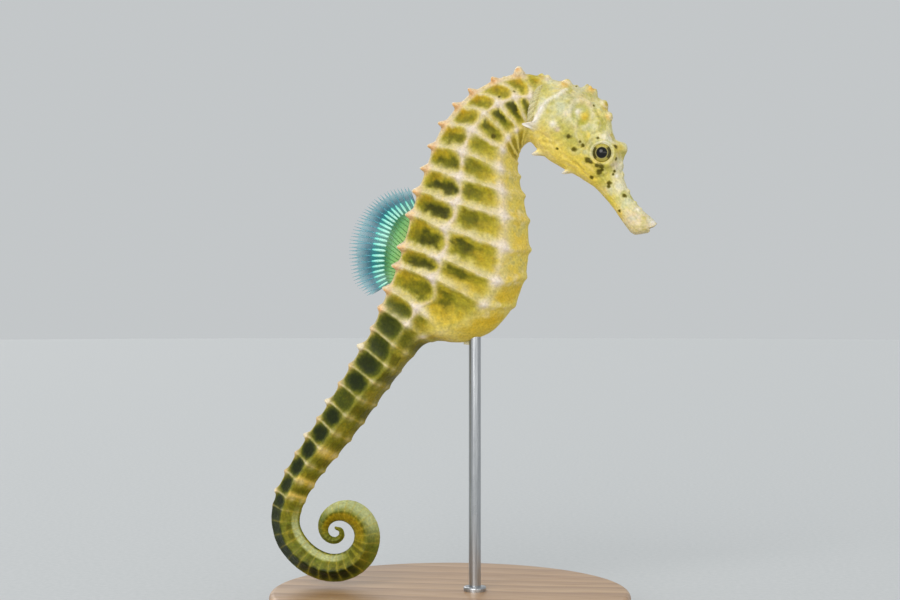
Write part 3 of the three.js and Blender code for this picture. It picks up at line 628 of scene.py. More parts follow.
def coronet_rise():
    """A low crown of blunt points round a shallow cup."""
    x, z = CORONET["centre"]
    away = np.hypot(grid.from_side_place(x, z), grid.plain[..., 1])
    rise = 0.7 * window(away, -1, -0.5, 0.9, 2.2)
    for k in range(CORONET["points"]):
        turn = 2 * math.pi * (k + 0.5) / CORONET["points"]
        place = (x + CORONET["ring"] * math.cos(turn) * 0.94, CORONET["ring"] * math.sin(turn),
                 z - CORONET["ring"] * math.cos(turn) * 0.34)
        away = np.linalg.norm(grid.plain - place, axis=-1)
        rise = rise + CORONET["height"] * knob(away, 0.5)
    return rise


def head_spine_shift():
    """Shift of the surface at the head's pointed spines."""
    shift = np.zeros(grid.points.shape)
    side = np.sign(grid.plain[..., 1])
    for foot, direction, height, radius in HEAD_SPINES:
        x, y, z = unit(np.array(direction))
        away = grid.from_surface_near(foot)
        profile = height * (0.45 * knob(away, 0.8 * radius) + 0.55 * thorn(away, radius))
        shift[..., 0] += x * profile
        shift[..., 1] += y * profile * side
        shift[..., 2] += z * profile
    x, z = NOSE["foot"]
    up_face = (grid.plain[..., 2] - z) + 0.25 * (grid.plain[..., 0] - x)
    profile = bell(up_face, np.where(up_face > 0, NOSE["above"], NOSE["below"]))
    profile *= bell(grid.plain[..., 1], NOSE["half_width"]) * smoothstep(1.4, 0.2, x - grid.plain[..., 0])
    shift[..., 0] += NOSE["height"] * profile
    shift[..., 2] += NOSE["lift"] * profile * smoothstep(-0.6, 0.5, up_face)
    return shift


MOUTH_CORNER = 2.2
MOUTH_CUT = 0.55


def mouth_shift():
    """How far towards the tail the lips are cut back at the corners of the mouth, in mm."""
    at_corner = bell(grid.half_way - MOUTH_CORNER, 0.42)
    return MOUTH_CUT * at_corner * (1 - smoothstep(0, 0.6, grid.rib))


def shape_skin():
    side = np.sign(grid.plain[..., 1])
    half_width = np.abs(grid.points[..., 1])
    on_head = 1 - smoothstep(10.6, 11.6, grid.rib)
    head_width = orbit_bulge(gill_cover_bulge(half_width))
    grid.points[..., 1] = side * (half_width * (1 - on_head) + head_width * on_head)
    at_eye = 1 - smoothstep(1.9, 2.6, grid.from_side_place(EYE_CENTRE[0], EYE_CENTRE[2]))
    spines, lean = spine_relief()
    rise = ring_relief() + spines + head_relief() * on_head * (1 - at_eye)
    for x, away, z, height, radius in BACK_KNOBS:
        rise += height * knob(grid.from_surface_near((x, away, z)), radius)
    rise += 0.022 * noise(0.45, 3)
    rise += 0.03 * noise(1.3, 4) * grid.small
    grid.points += grid.normals * rise[..., None]
    grid.points += grid.tailwards * (lean + mouth_shift())[..., None]
    grid.points += head_spine_shift() * on_head[..., None]
    grid.spines = spines


shape_skin()

# ---- skin colours

CREAM = colour(234, 220, 190)
WHITE = colour(244, 236, 226)
PINK = colour(228, 208, 188)
PALE_EDGE = colour(222, 204, 174)
ORANGE = colour(226, 158, 92)
AMBER = colour(226, 178, 84)
OCHRE = colour(178, 138, 6)
GOLD = colour(224, 186, 60)
YELLOW = colour(220, 200, 98)
OLIVE = colour(156, 146, 32)
PLATE_GREEN = colour(104, 104, 4)
PLATE_DARK = colour(74, 74, 0)
PLATE_BLACK = colour(44, 46, 2)
PLATE_PALE = colour(204, 192, 128)
PLATE_YELLOW = colour(200, 182, 70)
BROWN = colour(128, 112, 16)
GOLD_DEEP = colour(204, 162, 10)
TAIL_BAND = colour(186, 160, 58)
TAIL_DARK = colour(22, 32, 0)
TAIL_GREEN = colour(80, 86, 6)
TAIL_OLIVE = colour(118, 116, 22)
TAIL_YELLOW = colour(160, 142, 36)
TAIL_PALE = colour(176, 170, 112)
CURL_GREEN = colour(92, 106, 34)
# Pale green-white of the curl: its own colour on the curl's top, and a painted highlight along its inner
# side.
CURL_PALE_AND_HIGHLIGHT = colour(190, 196, 146)
# Golds of the cheek and throat, painted brighter than the lower face's own colour: painted light that lifts
# the shade under the head.
CHEEK_GOLD_WITH_PAINTED_LIGHT = colour(246, 216, 92)
THROAT_GOLD_WITH_PAINTED_LIGHT = colour(250, 222, 116)
FOREHEAD = colour(234, 224, 156)
CROWN = colour(196, 186, 140)
SNOUT = colour(212, 196, 66)
LIPS = colour(220, 204, 160)
SPOT = colour(76, 68, 0)
MOSS = colour(166, 162, 58)
PALE_HEAD = colour(211, 202, 138)
PALE_SNOUT = colour(218, 209, 146)
ASH = colour(204, 206, 172)


class Paint:
    """Colours of some points, laid one over the other as far as a mask lets them."""

    def __init__(self, base, shape):
        self.rgb = np.broadcast_to(base, shape).copy()
        self.mask = np.ones(shape[:-1])

    def lay(self, tint, amount):
        amount = np.clip(self.mask * amount, 0, 1)[..., None]
        self.rgb = self.rgb * (1 - amount) + tint * amount


def ragged(values, size, strength, seed):
    """Values with noise added, so that an edge that follows them is uneven."""
    return values + strength * (noise(size, seed) + 0.45 * noise(size / 3, seed + 100))


def noise_over(along, around, seed):
    """Noise from -1 to 1 by two measures along and round the body, in cells one unit wide."""
    return lattice_noise(np.stack([along, around, 0 * along], axis=-1), 1, SEED + seed)


def plate_luck(seed):
    """A random number from -1 to 1 for each plate."""
    return noise_over(np.floor(grid.tally), 3 * np.floor(grid.half_way), seed)


# How dark the plates of the upper and the lower row are, from trunk ring 1 to 12, and beyond.
UPPER_ROW_DARKNESS = [0.2, 0.3, 0.25, 0.4, 0.4, 0.55, 0.8, 0.95, 1.0, 1.0, 0.9, 0.65, 0.8, 0.9]
LOWER_ROW_DARKNESS = [0.3, 0.6, 0.95, 0.9, 0.65, 0.3, 0.35, 0.65, 0.75, 0.8, 0.7, 0.65, 0.5, 0.5]


def row_darkness(row):
    return np.array(row)[np.clip(np.floor(grid.count), 0, len(row) - 1).astype(int)]


def paint_trunk(paint):
    """Olive plates that start ochre at a ring, darken, and fade to pale before the next ring."""
    plate = ragged(grid.plate, 1.2, 0.13, 10)
    half_way = ragged(grid.half_way, 1.2, 0.09, 11)
    on_neck = 1 - smoothstep(4.2, 6.6, grid.count)
    low = smoothstep(9.3, 11.4, grid.count)
    wide_noise = noise(3.0, 12)
    mottle = noise(0.8, 14)
    luck = plate_luck(13)
    paint.lay(OLIVE, 1)
    paint.lay(PLATE_YELLOW, (0.15 + 0.6 * on_neck))
    paint.lay(YELLOW, (0.25 + 0.3 * luck) * smoothstep(-0.1, 0.7, wide_noise))
    paint.lay(YELLOW, smoothstep(2.8, 3.2, half_way))
    row_a = window(half_way, 1.04, 1.22, 1.8, 1.98)
    row_b = window(half_way, 2.03, 2.18, 2.66, 2.95)
    upper_a = 1 - smoothstep(1.25, 1.75, half_way)
    ochre = window(plate, 0.02, 0.1, 0.36, 0.66)
    paint.lay(OCHRE, ochre * row_a * (0.55 + 0.35 * on_neck) * (0.3 + 0.7 * upper_a))
    paint.lay(OCHRE, 0.4 * ochre * row_b * smoothstep(-0.4, 0.5, wide_noise))
    dark_a = window(plate, 0.1, 0.4, 0.62, 0.88) * row_a * (1 - 0.65 * upper_a * (1 - plate))
    dark_b = window(plate, 0.06, 0.3, 0.52, 0.88) * row_b
    dark_b *= 1 - 0.75 * smoothstep(2.3, 2.75, half_way) * (1 - on_neck)
    uneven = np.clip(0.95 + 0.15 * luck + 0.25 * mottle, 0, 1)
    upper_dark, lower_dark = row_darkness(UPPER_ROW_DARKNESS), row_darkness(LOWER_ROW_DARKNESS)
    paint.lay(PLATE_GREEN, dark_a * uneven * (0.35 + 0.62 * upper_dark))
    paint.lay(PLATE_GREEN, dark_b * uneven * (0.35 + 0.6 * lower_dark))
    deep_a = window(plate, 0.16, 0.44, 0.62, 0.86) * window(half_way, 1.15, 1.42, 1.82, 1.97) * upper_dark
    deep_b = window(plate, 0.08, 0.24, 0.4, 0.7) * window(half_way, 2.04, 2.16, 2.42, 2.8) * lower_dark
    deep = (deep_a + deep_b) * np.clip(1.0 + 0.2 * luck + 0.3 * mottle, 0, 1)
    paint.lay(PLATE_DARK, 0.92 * deep**1.5)
    paint.lay(PLATE_BLACK, 0.5 * deep**3 * smoothstep(-0.45, 0.3, luck + mottle))
    golden = window(half_way, 2.35, 2.65, 2.85, 3.0) * window(plate, 0.2, 0.4, 0.7, 0.9) * (1 - on_neck)
    paint.lay(GOLD, 0.3 * golden)
    paint.lay(GOLD, 0.6 * low * row_b * smoothstep(0.3, 0.6, plate))
    streak = window(half_way, 3.0, 3.25, 3.7, 3.95) * window(plate, 0.1, 0.35, 0.66, 0.95) * on_neck
    paint.lay(BROWN, 0.75 * streak * window(grid.count, 1.2, 2.2, 4.4, 5.4))
    pale = smoothstep(0.6, 0.92, plate) * window(half_way, 1.0, 1.2, 2.95, 3.3) * (1 - 0.3 * on_neck)
    paint.lay(PLATE_PALE, 0.8 * pale * (1 - 0.5 * low * smoothstep(2.2, 2.6, half_way)))
    side = window(half_way, 3.08, 3.3, 3.75, 3.98) * (1 - on_neck)
    paint.lay(GOLD, 0.5 * side * smoothstep(-0.3, 0.4, wide_noise))
    paint.lay(CREAM, 0.5 * side * smoothstep(-0.1, 0.5, mottle))
    paint.lay(OLIVE, 0.35 * side * window(plate, 0.15, 0.3, 0.6, 0.8) * smoothstep(-0.1, 0.6, mottle))
    paint.lay(GOLD_DEEP, 0.75 * side * window(plate, 0.1, 0.3, 0.7, 0.95) * low)
    under = smoothstep(10.9, 12.0, grid.count) * smoothstep(2.25, 2.9, half_way)
    paint.lay(YELLOW, 0.75 * under)
    paint.lay(GOLD_DEEP, 0.5 * under * smoothstep(0.1, 0.5, wide_noise))
    fine = lattice_noise(grid.plain * np.array([1, 1, 0.5]), 0.45, SEED + 15)
    paint.rgb *= 1 + (0.1 * fine * (1 - smoothstep(2.9, 3.2, half_way)))[..., None]


def paint_tail(paint):
    """Nearly black squares along the upper side; olive with yellow bands below; greener round the curl."""
    plate = ragged(grid.plate, 0.8, 0.08, 20)
    half_way = ragged(grid.half_way, 0.8, 0.06, 21)
    on_curl = smoothstep(22.6, 25, grid.count)
    joined = window(grid.count, 22.8, 23.6, 26.0, 27)
    past_joined = smoothstep(26.0, 27.0, grid.count)
    past_side = smoothstep(29.6, 30.8, grid.count)
    at_top = window(grid.count, 31.5, 33.5, 36.5, 38.5)
    wide_noise = noise(2.0, 23)
    luck = plate_luck(22)
    paint.lay(TAIL_OLIVE, 1)
    paint.lay(CURL_GREEN, 0.7 * on_curl * smoothstep(-0.5, 0.5, wide_noise))
    paint.lay(TAIL_PALE, 0.7 * (1 - smoothstep(1.1, 1.34, half_way)) * (1 - 0.8 * on_curl))
    middle = 1.5 + 0.34 * on_curl * past_joined
    away = np.hypot((plate - 0.48) / (0.5 + 0.06 * on_curl), (half_way - middle) / (0.46 + 0.24 * on_curl))
    square = 1 - smoothstep(0.42, 1.08, away)
    paint.lay(TAIL_GREEN, 0.8 * (1 - smoothstep(0.8, 1.3, away)) * (1 - past_side))
    pale_one = bell(grid.count - 17.5, 0.5)
    along_edge = window(half_way, 0.7, 0.95, 1.85, 2.15)
    shade = eased([(12, 0.4), (13.5, 0.55), (15.5, 0.85), (17, 0.95), (30, 1)], grid.count)
    dark = square * shade * np.clip(0.98 + 0.12 * luck, 0, 1) * (1 - 0.7 * pale_one) * (1 - 0.85 * past_side)
    band = along_edge * joined * (0.72 + 0.2 * smoothstep(-0.4, 0.4, wide_noise))
    paint.lay(TAIL_DARK, 0.94 * np.maximum(dark, band))
    ventral = smoothstep(2.05, 2.35, half_way)
    streaks = noise_over(grid.count * 3, grid.half_way * 0.8, 24)
    paint.lay(TAIL_YELLOW, 0.5 * ventral * (1 - 0.7 * on_curl) * smoothstep(-0.4, 0.6, streaks))
    paint.lay(PLATE_DARK, 0.6 * ventral * window(plate, 0.2, 0.4, 0.7, 0.9) * smoothstep(-0.5, 0.4, luck))
    way = np.broadcast_to(grid.ways, grid.shape)
    # Along the inner side of the curl: a pale strip that is a painted highlight on that ridge.
    curl_inner_highlight = window(way, 3.7, 4.25, 5.1, 5.7)
    paint.lay(CURL_PALE_AND_HIGHLIGHT, 0.9 * on_curl * curl_inner_highlight * (1 - smoothstep(28.5, 30.5, grid.count)))
    paint.lay(CURL_PALE_AND_HIGHLIGHT, 0.85 * at_top * (1 - smoothstep(1.5, 2.4, half_way)))
    paint.lay(OCHRE, 0.45 * window(grid.count, 31, 33, 38, 40) * smoothstep(2.3, 3.0, half_way))
    fine = noise(0.4, 25)
    paint.rgb *= 1 + (0.08 * fine * paint.mask)[..., None]


def paint_rings(paint):
    """Pale lines over rings and ridges, and their spines."""
    on_tail = smoothstep(12, 14.5, grid.count)
    on_curl = smoothstep(22.8, 24.5, grid.count)
    low = smoothstep(9.5, 11.2, grid.count) * (1 - on_tail)
    half_way = grid.half_way
    waver = (0.28 * noise(1.1, 31) + 0.12 * noise(0.4, 32))
    past_ring = grid.past_ring + waver * (1 - 0.8 * on_tail)
    after = bell(past_ring, (0.46 - 0.22 * on_tail) * grid.small)
    before = bell(past_ring, (1.25 - 0.93 * on_tail) * grid.small)
    ring = np.where(past_ring > 0, after, before)
    middle_face = np.abs(np.sin(math.pi * half_way)) * (1 - on_tail) * (half_way > 1)
    break_up = np.clip(0.8 + 0.5 * noise(1.3, 30) - 0.2 * middle_face, 0, 1)
    under_tail = on_tail * smoothstep(1.9, 2.2, half_way)
    belly_face = smoothstep(3.0, 3.3, half_way) * (1 - on_tail)
    yellow = np.maximum(under_tail, on_curl)[..., None]
    line = (CREAM * 0.5 + PINK * 0.38 + PLATE_PALE * 0.12) * (1 - yellow) + TAIL_BAND * yellow
    low_side = low * smoothstep(2.2, 2.7, half_way)
    strength = 0.9 - 0.25 * on_tail - 0.6 * belly_face - 0.2 * on_curl - 0.4 * low_side
    last_lines = 1 - 0.85 * window(grid.count, 11.4, 11.7, 12.3, 12.6) * smoothstep(2.3, 2.8, half_way)
    paint.lay(line, ring * break_up * strength * last_lines)
    gold_bands = bell(np.minimum(np.abs(grid.count - 21.85), np.abs(grid.count - 22.75)), 0.15)
    gold_bands = np.maximum(gold_bands, bell(grid.count - 20.1, 0.3) * 0.9)
    paint.lay(colour(216, 186, 84), gold_bands * smoothstep(1.9, 2.15, half_way))
    for ridge, strength, width in ((1, 0.5, 0.5), (2, 0.85, 0.62), (3, 0.7, 1.4)):
        near = bell(grid.from_ridge(ridge) + 0.8 * waver, (width - 0.25 * on_tail) * grid.small)
        fade = 1 - (0.7 if ridge == 1 else 0.93) * on_tail
        fade = fade * (1 - 0.75 * low * (ridge == 3)) * (1 - 0.9 * on_curl)
        paint.lay(PINK, strength * near * break_up * fade)
        node = bell(np.hypot(grid.past_ring, grid.from_ridge(ridge)), (1.3 - 0.5 * on_tail) * grid.small)
        clear = (1 - 0.6 * on_tail) * last_lines * (1 - 0.8 * on_curl)
        paint.lay(WHITE * 0.5 + PINK * 0.5, 0.9 * node * clear)
    neck_edge = 0.16 * (1 - smoothstep(4.5, 7, grid.count))
    edge = window(half_way, 0.6, 0.85, 1.0 + neck_edge, 1.1 + 1.5 * neck_edge)
    paint.lay(PALE_EDGE, (0.5 + 2 * neck_edge) * edge * (1 - 0.25 * on_tail) * (1 - on_curl))
    foot = bell(np.hypot(grid.past_ring - 0.3 * grid.small, grid.from_ridge(1) - 0.1), 1.0 * grid.small)
    paint.lay(ORANGE, 0.6 * foot * (1 - 0.5 * on_tail) * (1 - on_curl))
    crest = smoothstep(0.35, 0.8, grid.spines) + 0.8 * smoothstep(0.25, 0.6, grid.spines) * on_tail
    paint.lay(CREAM, 0.9 * crest)
    core = bell(np.hypot(grid.past_ring - 0.15, grid.from_ridge(1) - 0.25), 0.4) * (1 - on_tail)
    paint.lay(ORANGE, 0.75 * core * (half_way > 1))


# Soft patches of colour on the head, one of them painted shade: x, z, radius, colour, strength.
HEAD_PATCHES = [
    (24.0, 90.5, 4.6, CHEEK_GOLD_WITH_PAINTED_LIGHT, 0.85), (19.5, 94.0, 3.0, THROAT_GOLD_WITH_PAINTED_LIGHT, 0.85), (29.0, 88.5, 3.4, CHEEK_GOLD_WITH_PAINTED_LIGHT, 0.7),
    (31.0, 98.0, 3.4, FOREHEAD, 0.85), (26.0, 104.5, 3.4, CROWN, 0.85), (22.0, 106.0, 2.6, CREAM, 0.45),
    (20.5, 101.5, 2.8, PALE_HEAD, 0.7), (22.8, 101.8, 1.8, ASH, 0.6), (23.2, 96.6, 2.4, MOSS, 0.45),
    (25.0, 95.2, 1.6, MOSS, 0.5), (19.4, 104.9, 1.5, MOSS, 0.4), (26.9, 100.5, 2.3, ASH, 0.55),
    # The olive patch at 26.9, 98.6, under the temple's yellow boss, is painted shade.
    (26.9, 98.6, 1.25, MOSS, 0.9), (26.2, 102.8, 0.8, AMBER, 0.6), (27.9, 102.3, 0.8, AMBER, 0.6),
    (28.4, 96.2, 1.3, CHEEK_GOLD_WITH_PAINTED_LIGHT, 0.75), (27.6, 97.9, 1.0, MOSS, 0.7), (25.3, 99.4, 0.7, ASH, 0.7),
    (29.7, 100.4, 0.8, YELLOW, 0.9), (30.2, 99.0, 1.1, MOSS, 0.4),
    (31.5, 95.3, 1.15, WHITE, 0.9), (32.6, 96.0, 1.0, PINK, 0.5), (30.8, 97.0, 0.6, ASH, 0.6),
    (33.6, 93.4, 1.0, GOLD, 0.6), (33.3, 90.2, 1.2, PINK, 0.8), (34.0, 86.2, 1.6, WHITE, 0.75),
    (31.0, 87.2, 1.6, MOSS, 0.35), (30.5, 89.2, 1.2, MOSS, 0.55), (31.8, 83.6, 1.4, SNOUT, 0.6),
    (31.0, 85.6, 1.2, PINK, 0.45), (36.0, 83.6, 1.3, ASH, 0.65), (36.4, 80.2, 1.6, PINK, 0.75),
    (39.6, 79.6, 1.3, PINK, 0.7), (37.6, 77.6, 1.3, LIPS, 0.9), (33.6, 80.6, 1.0, GOLD, 0.5),
    (17.0, 104.2, 1.4, CREAM, 0.7), (17.6, 101.5, 1.0, ASH, 0.5),
]
# Small bright marks, the first a painted highlight: x, z, radius, colour.
HEAD_MARKS = [
    # White at the upper back of the temple's yellow boss: a painted highlight.
    (25.8, 100.7, 0.55, WHITE), (27.2, 99.8, 0.85, GOLD), (27.3, 100.1, 0.4, YELLOW),
    (21.0, 98.3, 0.8, WHITE),
    (21.9, 97.3, 0.55, PINK), (23.6, 100.4, 0.65, CREAM), (17.1, 103.9, 0.6, WHITE),
    (31.2, 102.0, 0.7, OCHRE),
    (31.7, 100.0, 0.55, AMBER), (28.3, 105.6, 0.8, AMBER), (23.0, 106.6, 0.85, AMBER),
    (18.4, 108.0, 0.5, ORANGE),
    (19.6, 107.7, 0.5, PINK), (33.3, 88.3, 0.6, WHITE), (37.4, 81.9, 0.5, WHITE), (40.4, 79.2, 0.5, WHITE),
]
# Freckles whose x is less than this lie on the neck and trunk.
TRUNK_FRECKLES_BELOW = 14
# Dark freckles: x, z, radius.
FRECKLES = [
    (24.0, 95.8, 0.54), (25.1, 93.4, 0.52), (21.8, 93.6, 0.32), (26.8, 94.1, 0.4), (26.4, 94.8, 0.28),
    (29.8, 95.6, 0.3), (28.9, 102.0, 0.28), (27.7, 91.3, 0.6), (28.4, 90.9, 0.42), (30.4, 90.0, 0.58),
    (29.5, 90.3, 0.48), (29.9, 89.1, 0.58), (30.5, 89.4, 0.36), (28.4, 88.0, 0.48), (32.9, 89.2, 0.3),
    (32.6, 88.6, 0.3), (33.2, 91.6, 0.44), (33.1, 94.0, 0.5), (31.8, 86.9, 0.5), (31.7, 86.4, 0.42),
    (34.8, 84.4, 0.46), (33.8, 81.5, 0.36), (13.4, 105.0, 0.26), (25.3, 106.1, 0.22), (9.2, 96.2, 0.5),
    (10.4, 104.0, 0.26),
]


def paint_head(paint):
    low_side = smoothstep(2.3, 3.2, grid.half_way + 0.3 * (1 - smoothstep(4, 6, grid.rib)))
    paint.lay(PALE_HEAD, 1)
    # The lower side of the head takes the brightened cheek gold: partly its golden colour, partly painted
    # light.
    paint.lay(CHEEK_GOLD_WITH_PAINTED_LIGHT, 0.8 * low_side)
    streaks = noise_over(grid.rib * 2.2, grid.half_way * 9, 40)
    cloud = noise(1.6, 42)
    blots = 1 + 0.3 * noise(0.9, 43)
    paint.lay(PALE_SNOUT, 0.75 * (1 - smoothstep(3.6, 5.2, grid.rib)) * (1 - low_side))
    paint.lay(LIPS, 0.85 * (1 - smoothstep(1.6, 3.4, grid.rib)))
    # The underside of the head takes the brightened throat gold: partly its golden colour, partly painted
    # light.
    underside_painted_light = smoothstep(3.1, 3.8, grid.half_way) * window(grid.rib, 1.5, 3, 9, 10.5)
    paint.lay(THROAT_GOLD_WITH_PAINTED_LIGHT, 0.7 * underside_painted_light)
    for x, z, radius, tint, strength in HEAD_PATCHES:
        paint.lay(tint, strength * bell(grid.seen_near(x, z) * blots, radius))
    upper = 1 - smoothstep(2.2, 3.0, grid.half_way)
    small_cloud = noise(0.8, 45)
    paint.lay(ASH, (0.1 + 0.45 * upper) * smoothstep(0.0, 0.6, cloud + 0.4 * small_cloud))
    paint.lay(MOSS, (0.1 + 0.35 * upper) * smoothstep(0.1, 0.7, 0.4 * small_cloud - cloud))
    paint.lay(CREAM, 0.22 * smoothstep(0, 0.8, streaks))
    paint.lay(MOSS, 0.14 * smoothstep(0, 0.8, -streaks))
    paint.lay(WHITE, 0.7 * bell(grid.from_line(GILL_LINE), 0.5))
    paint.lay(WHITE, 0.9 * bell(grid.from_line(GILL_LINE[3:]), 0.75))
    stretch = from_temple()
    paint.lay(ASH, 0.5 * bell(stretch, 1.6) * smoothstep(-0.6, 1.2, grid.plain[..., 2] - TEMPLE[1]))
    paint.lay(MOSS, 0.45 * bell(stretch - 1.3, 0.45) * blots)
    paint.lay(CREAM, 0.42 * bell(stretch - 2.15, 0.4) * blots)
    paint.lay(CREAM, 0.4 * bell(grid.from_line(CHEEK_RIDGE), 0.35))
    for x, z, radius, tint in HEAD_MARKS:
        paint.lay(tint, 0.9 * bell(grid.seen_near(x, z) * blots, radius))
    from_eye = grid.from_side_place(EYE_CENTRE[0], EYE_CENTRE[2])
    paint.lay(CREAM, 0.2 * bell(from_eye - 2.2, 0.16))
    paint.lay(MOSS, 0.3 * bell(from_eye - 2.55, 0.18) * blots)
    uneven = 1 + 0.34 * noise(0.42, 41) + 0.12 * noise(0.2, 44)
    on_head = paint.mask
    for x, z, radius in FRECKLES:
        away = grid.from_spot(x, z) * uneven
        paint.mask = np.maximum(on_head, x < TRUNK_FRECKLES_BELOW)
        paint.lay(SPOT, 0.9 * (1 - smoothstep(0.5 * radius, 1.3 * radius, away)))
    paint.mask = on_head
    for foot, _, _, radius in HEAD_SPINES:
        paint.lay(WHITE, np.clip(1.3 * thorn(grid.from_surface_near(foot), radius), 0, 1))
    crests = np.zeros(grid.shape)
    for x, side, z, height, radius in HEAD_KNOBS:
        crests += height * bell(grid.from_surface_near((x, side, z)) - 0.8 * radius, 0.3)
    paint.lay(CREAM, 0.8 * np.clip(crests, 0, 1))


def paint_skin():
    paint = Paint(YELLOW, grid.points.shape)
    on_head = 1 - smoothstep(9.8, 10.5, grid.rib)
    on_tail = smoothstep(11.8, 13.2, grid.count - 0.5 * np.clip(grid.half_way - 2, 0, 1))
    paint_trunk(paint)
    for paint_part, mask in ((paint_tail, on_tail), (paint_rings, grid.ringed), (paint_head, on_head)):
        paint.mask = mask
        paint_part(paint)
    edge = smoothstep(0.0, 0.35, noise(0.35, 50))
    paint.rgb *= 1 + 0.05 * (edge - 0.5)[..., None]
    return np.clip(linear(np.clip(paint.rgb, 0, 1)), 0, 1)


# ---- meshes


def new_mesh(name, vertices, faces, material):
    """A Blender object from mm vertices and faces, shaded smooth."""
    mesh = bpy.data.meshes.new(name)
    mesh.from_pydata((np.asarray(vertices, float) * MM).tolist(), [], faces)
    mesh.polygons.foreach_set("use_smooth", [True] * len(mesh.polygons))
    mesh.update()
    piece = bpy.data.objects.new(name, mesh)
    bpy.context.scene.collection.objects.link(piece)
    piece.data.materials.append(material)
    return piece


def add_colours(mesh, name, rgb):
    """Linear colours, one for each vertex, as an attribute that a material reads."""
    layer = mesh.attributes.new(name, "FLOAT_COLOR", "POINT")
    rgba = np.ones((len(mesh.vertices), 4), np.float32)
    rgba[:, :rgb.shape[1]] = rgb
    layer.data.foreach_set("color", rgba.ravel())


def strip_uv(mesh, rows, columns, split_row):
    """Unwraps a grid of quads in two strips, each along the body and round it, split at a row."""
    layer = mesh.uv_layers.new(name="OFBake")
    row, column = np.divmod(np.arange((rows - 1) * columns), columns)
    corner_rows = row[:, None] + np.array([0, 1, 1, 0])
    corner_columns = column[:, None] + np.array([0, 0, 1, 1])
    front = (row < split_row)[:, None]
    span = np.where(front, split_row, rows - 1 - split_row)
    start = np.where(front, 0, split_row)
    x = 0.01 + 0.98 * (corner_rows - start) / span
    y = np.where(front, 0.37 + 0.62 * corner_columns / columns, 0.01 + 0.34 * corner_columns / columns)
    uv = np.zeros((len(mesh.loops), 2), np.float32)
    quads = np.stack([x, y], axis=2).reshape(-1, 2)
    uv[:len(quads)] = quads
    uv[len(quads):] = (0.005, 0.005)
    layer.data.foreach_set("uv", uv.ravel())


MOUTH_RINGS = ((0.2, 1.9), (0.34, 1.5), (0.5, 0.8), (0.72, 0.2), (0.86, -0.02))
TAIL_CAP_RINGS = ((0.75, 0.16), (0.4, 0.26))


def make_skin(material):
    """The whole body as one closed surface, from a pit in the mouth, darkened with painted shade, to the tip
    of the tail.
    """
    points, rgb = grid.points, paint_skin()
    lips, tip = points[0], points[-1]
    into_mouth = grid.tailwards[0].mean(0)
    past_tip = grid.tailwards[-1].mean(0)
    mouth = [lips.mean(0) + (lips - lips.mean(0)) * size + into_mouth * depth for size, depth in MOUTH_RINGS]
    cap = [tip.mean(0) + (tip - tip.mean(0)) * size + past_tip * far for size, far in TAIL_CAP_RINGS]
    rings = np.concatenate([np.array(mouth), points, np.array(cap)])
    # The mouth pit's rings darken inwards to a tenth of the lips' colour, and its bottom point takes the
    # darkest: painted shade in the pit.
    mouth_pit_painted_shade = [rgb[0] * shade for shade in (0.1, 0.14, 0.3, 0.7, 0.95)]
    tints = np.concatenate([np.array(mouth_pit_painted_shade), rgb, np.repeat(rgb[-1:], len(cap), axis=0)])
    rows = len(rings)
    row, column = np.divmod(np.arange((rows - 1) * COLUMNS), COLUMNS)
    after = (column + 1) % COLUMNS
    quads = np.stack([row * COLUMNS + column, (row + 1) * COLUMNS + column, (row + 1) * COLUMNS + after,
                      row * COLUMNS + after], axis=1)
    first, last = rows * COLUMNS, rows * COLUMNS + 1
    around = np.arange(COLUMNS)
    beside = (around + 1) % COLUMNS
    bottom = (rows - 1) * COLUMNS
    fans = [(first, k, m) for k, m in zip(around.tolist(), beside.tolist())]
    fans += [(last, bottom + m, bottom + k) for k, m in zip(around.tolist(), beside.tolist())]
    ends = [rings[0].mean(0) + into_mouth * 0.1, rings[-1].mean(0) + past_tip * 0.06]
    vertices = np.concatenate([rings.reshape(-1, 3), np.array(ends)])
    piece = new_mesh("skin", vertices, quads.tolist() + fans, material)
    tints = np.concatenate([tints.reshape(-1, 3), tints[0, :1], tints[-1, :1]])
    add_colours(piece.data, "skin_colour", tints)
    split = len(mouth) + int(np.searchsorted(grid.u, TAIL_START))
    strip_uv(piece.data, rows, COLUMNS, split)
    return piece


def round_faces(rows, sides, start=0):
    """Quads between rows of points that each go once round, outwards when the rows go up."""
    faces = []
    for i in range(rows - 1):
        for k in range(sides):
            a, b = start + i * sides + k, start + i * sides + (k + 1) % sides
            faces.append((a, b, b + sides, a + sides))
    return faces


def tube(line, radii, sides, flat=1.0):
    """Closed tube along mm points: its vertices and faces. flat is its reach along Y over that across."""
    line = np.asarray(line, float)
    radii = np.broadcast_to(radii, len(line))
    ahead = unit(np.gradient(line, axis=0))
    across = unit(np.cross(ahead, (0, 1, 0)))
    third = unit(np.cross(ahead, across))
    turn = 2 * math.pi * np.arange(sides) / sides
    ring = across[:, None] * np.cos(turn)[:, None] + third[:, None] * (flat * np.sin(turn))[:, None]
    vertices = (line[:, None] + ring * radii[:, None, None]).reshape(-1, 3)
    faces = round_faces(len(line), sides)
    faces.append(tuple(range(sides))[::-1])
    faces.append(tuple(range((len(line) - 1) * sides, len(line) * sides)))
    return vertices, faces


def gathered(parts):
    """Several (vertices, faces, colours) as one."""
    vertices, faces, tints = [], [], []
    for part_vertices, part_faces, part_tints in parts:
        start = sum(len(v) for v in vertices)
        vertices.append(part_vertices)
        faces += [tuple(start + i for i in face) for face in part_faces]
        tints.append(np.broadcast_to(part_tints, (len(part_vertices), len(np.atleast_2d(part_tints)[0]))))
    return np.concatenate(vertices), faces, np.concatenate(tints)


def node_piece(name, parts, node, material, layer=None):
    """One object of (vertices, faces, colours) parts, in place of a node of the frame."""
    vertices, faces, tints = gathered(parts)
    piece = new_mesh(name, vertices, faces, material)
    if layer:
        add_colours(piece.data, layer, tints)
    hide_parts(node)
    return piece


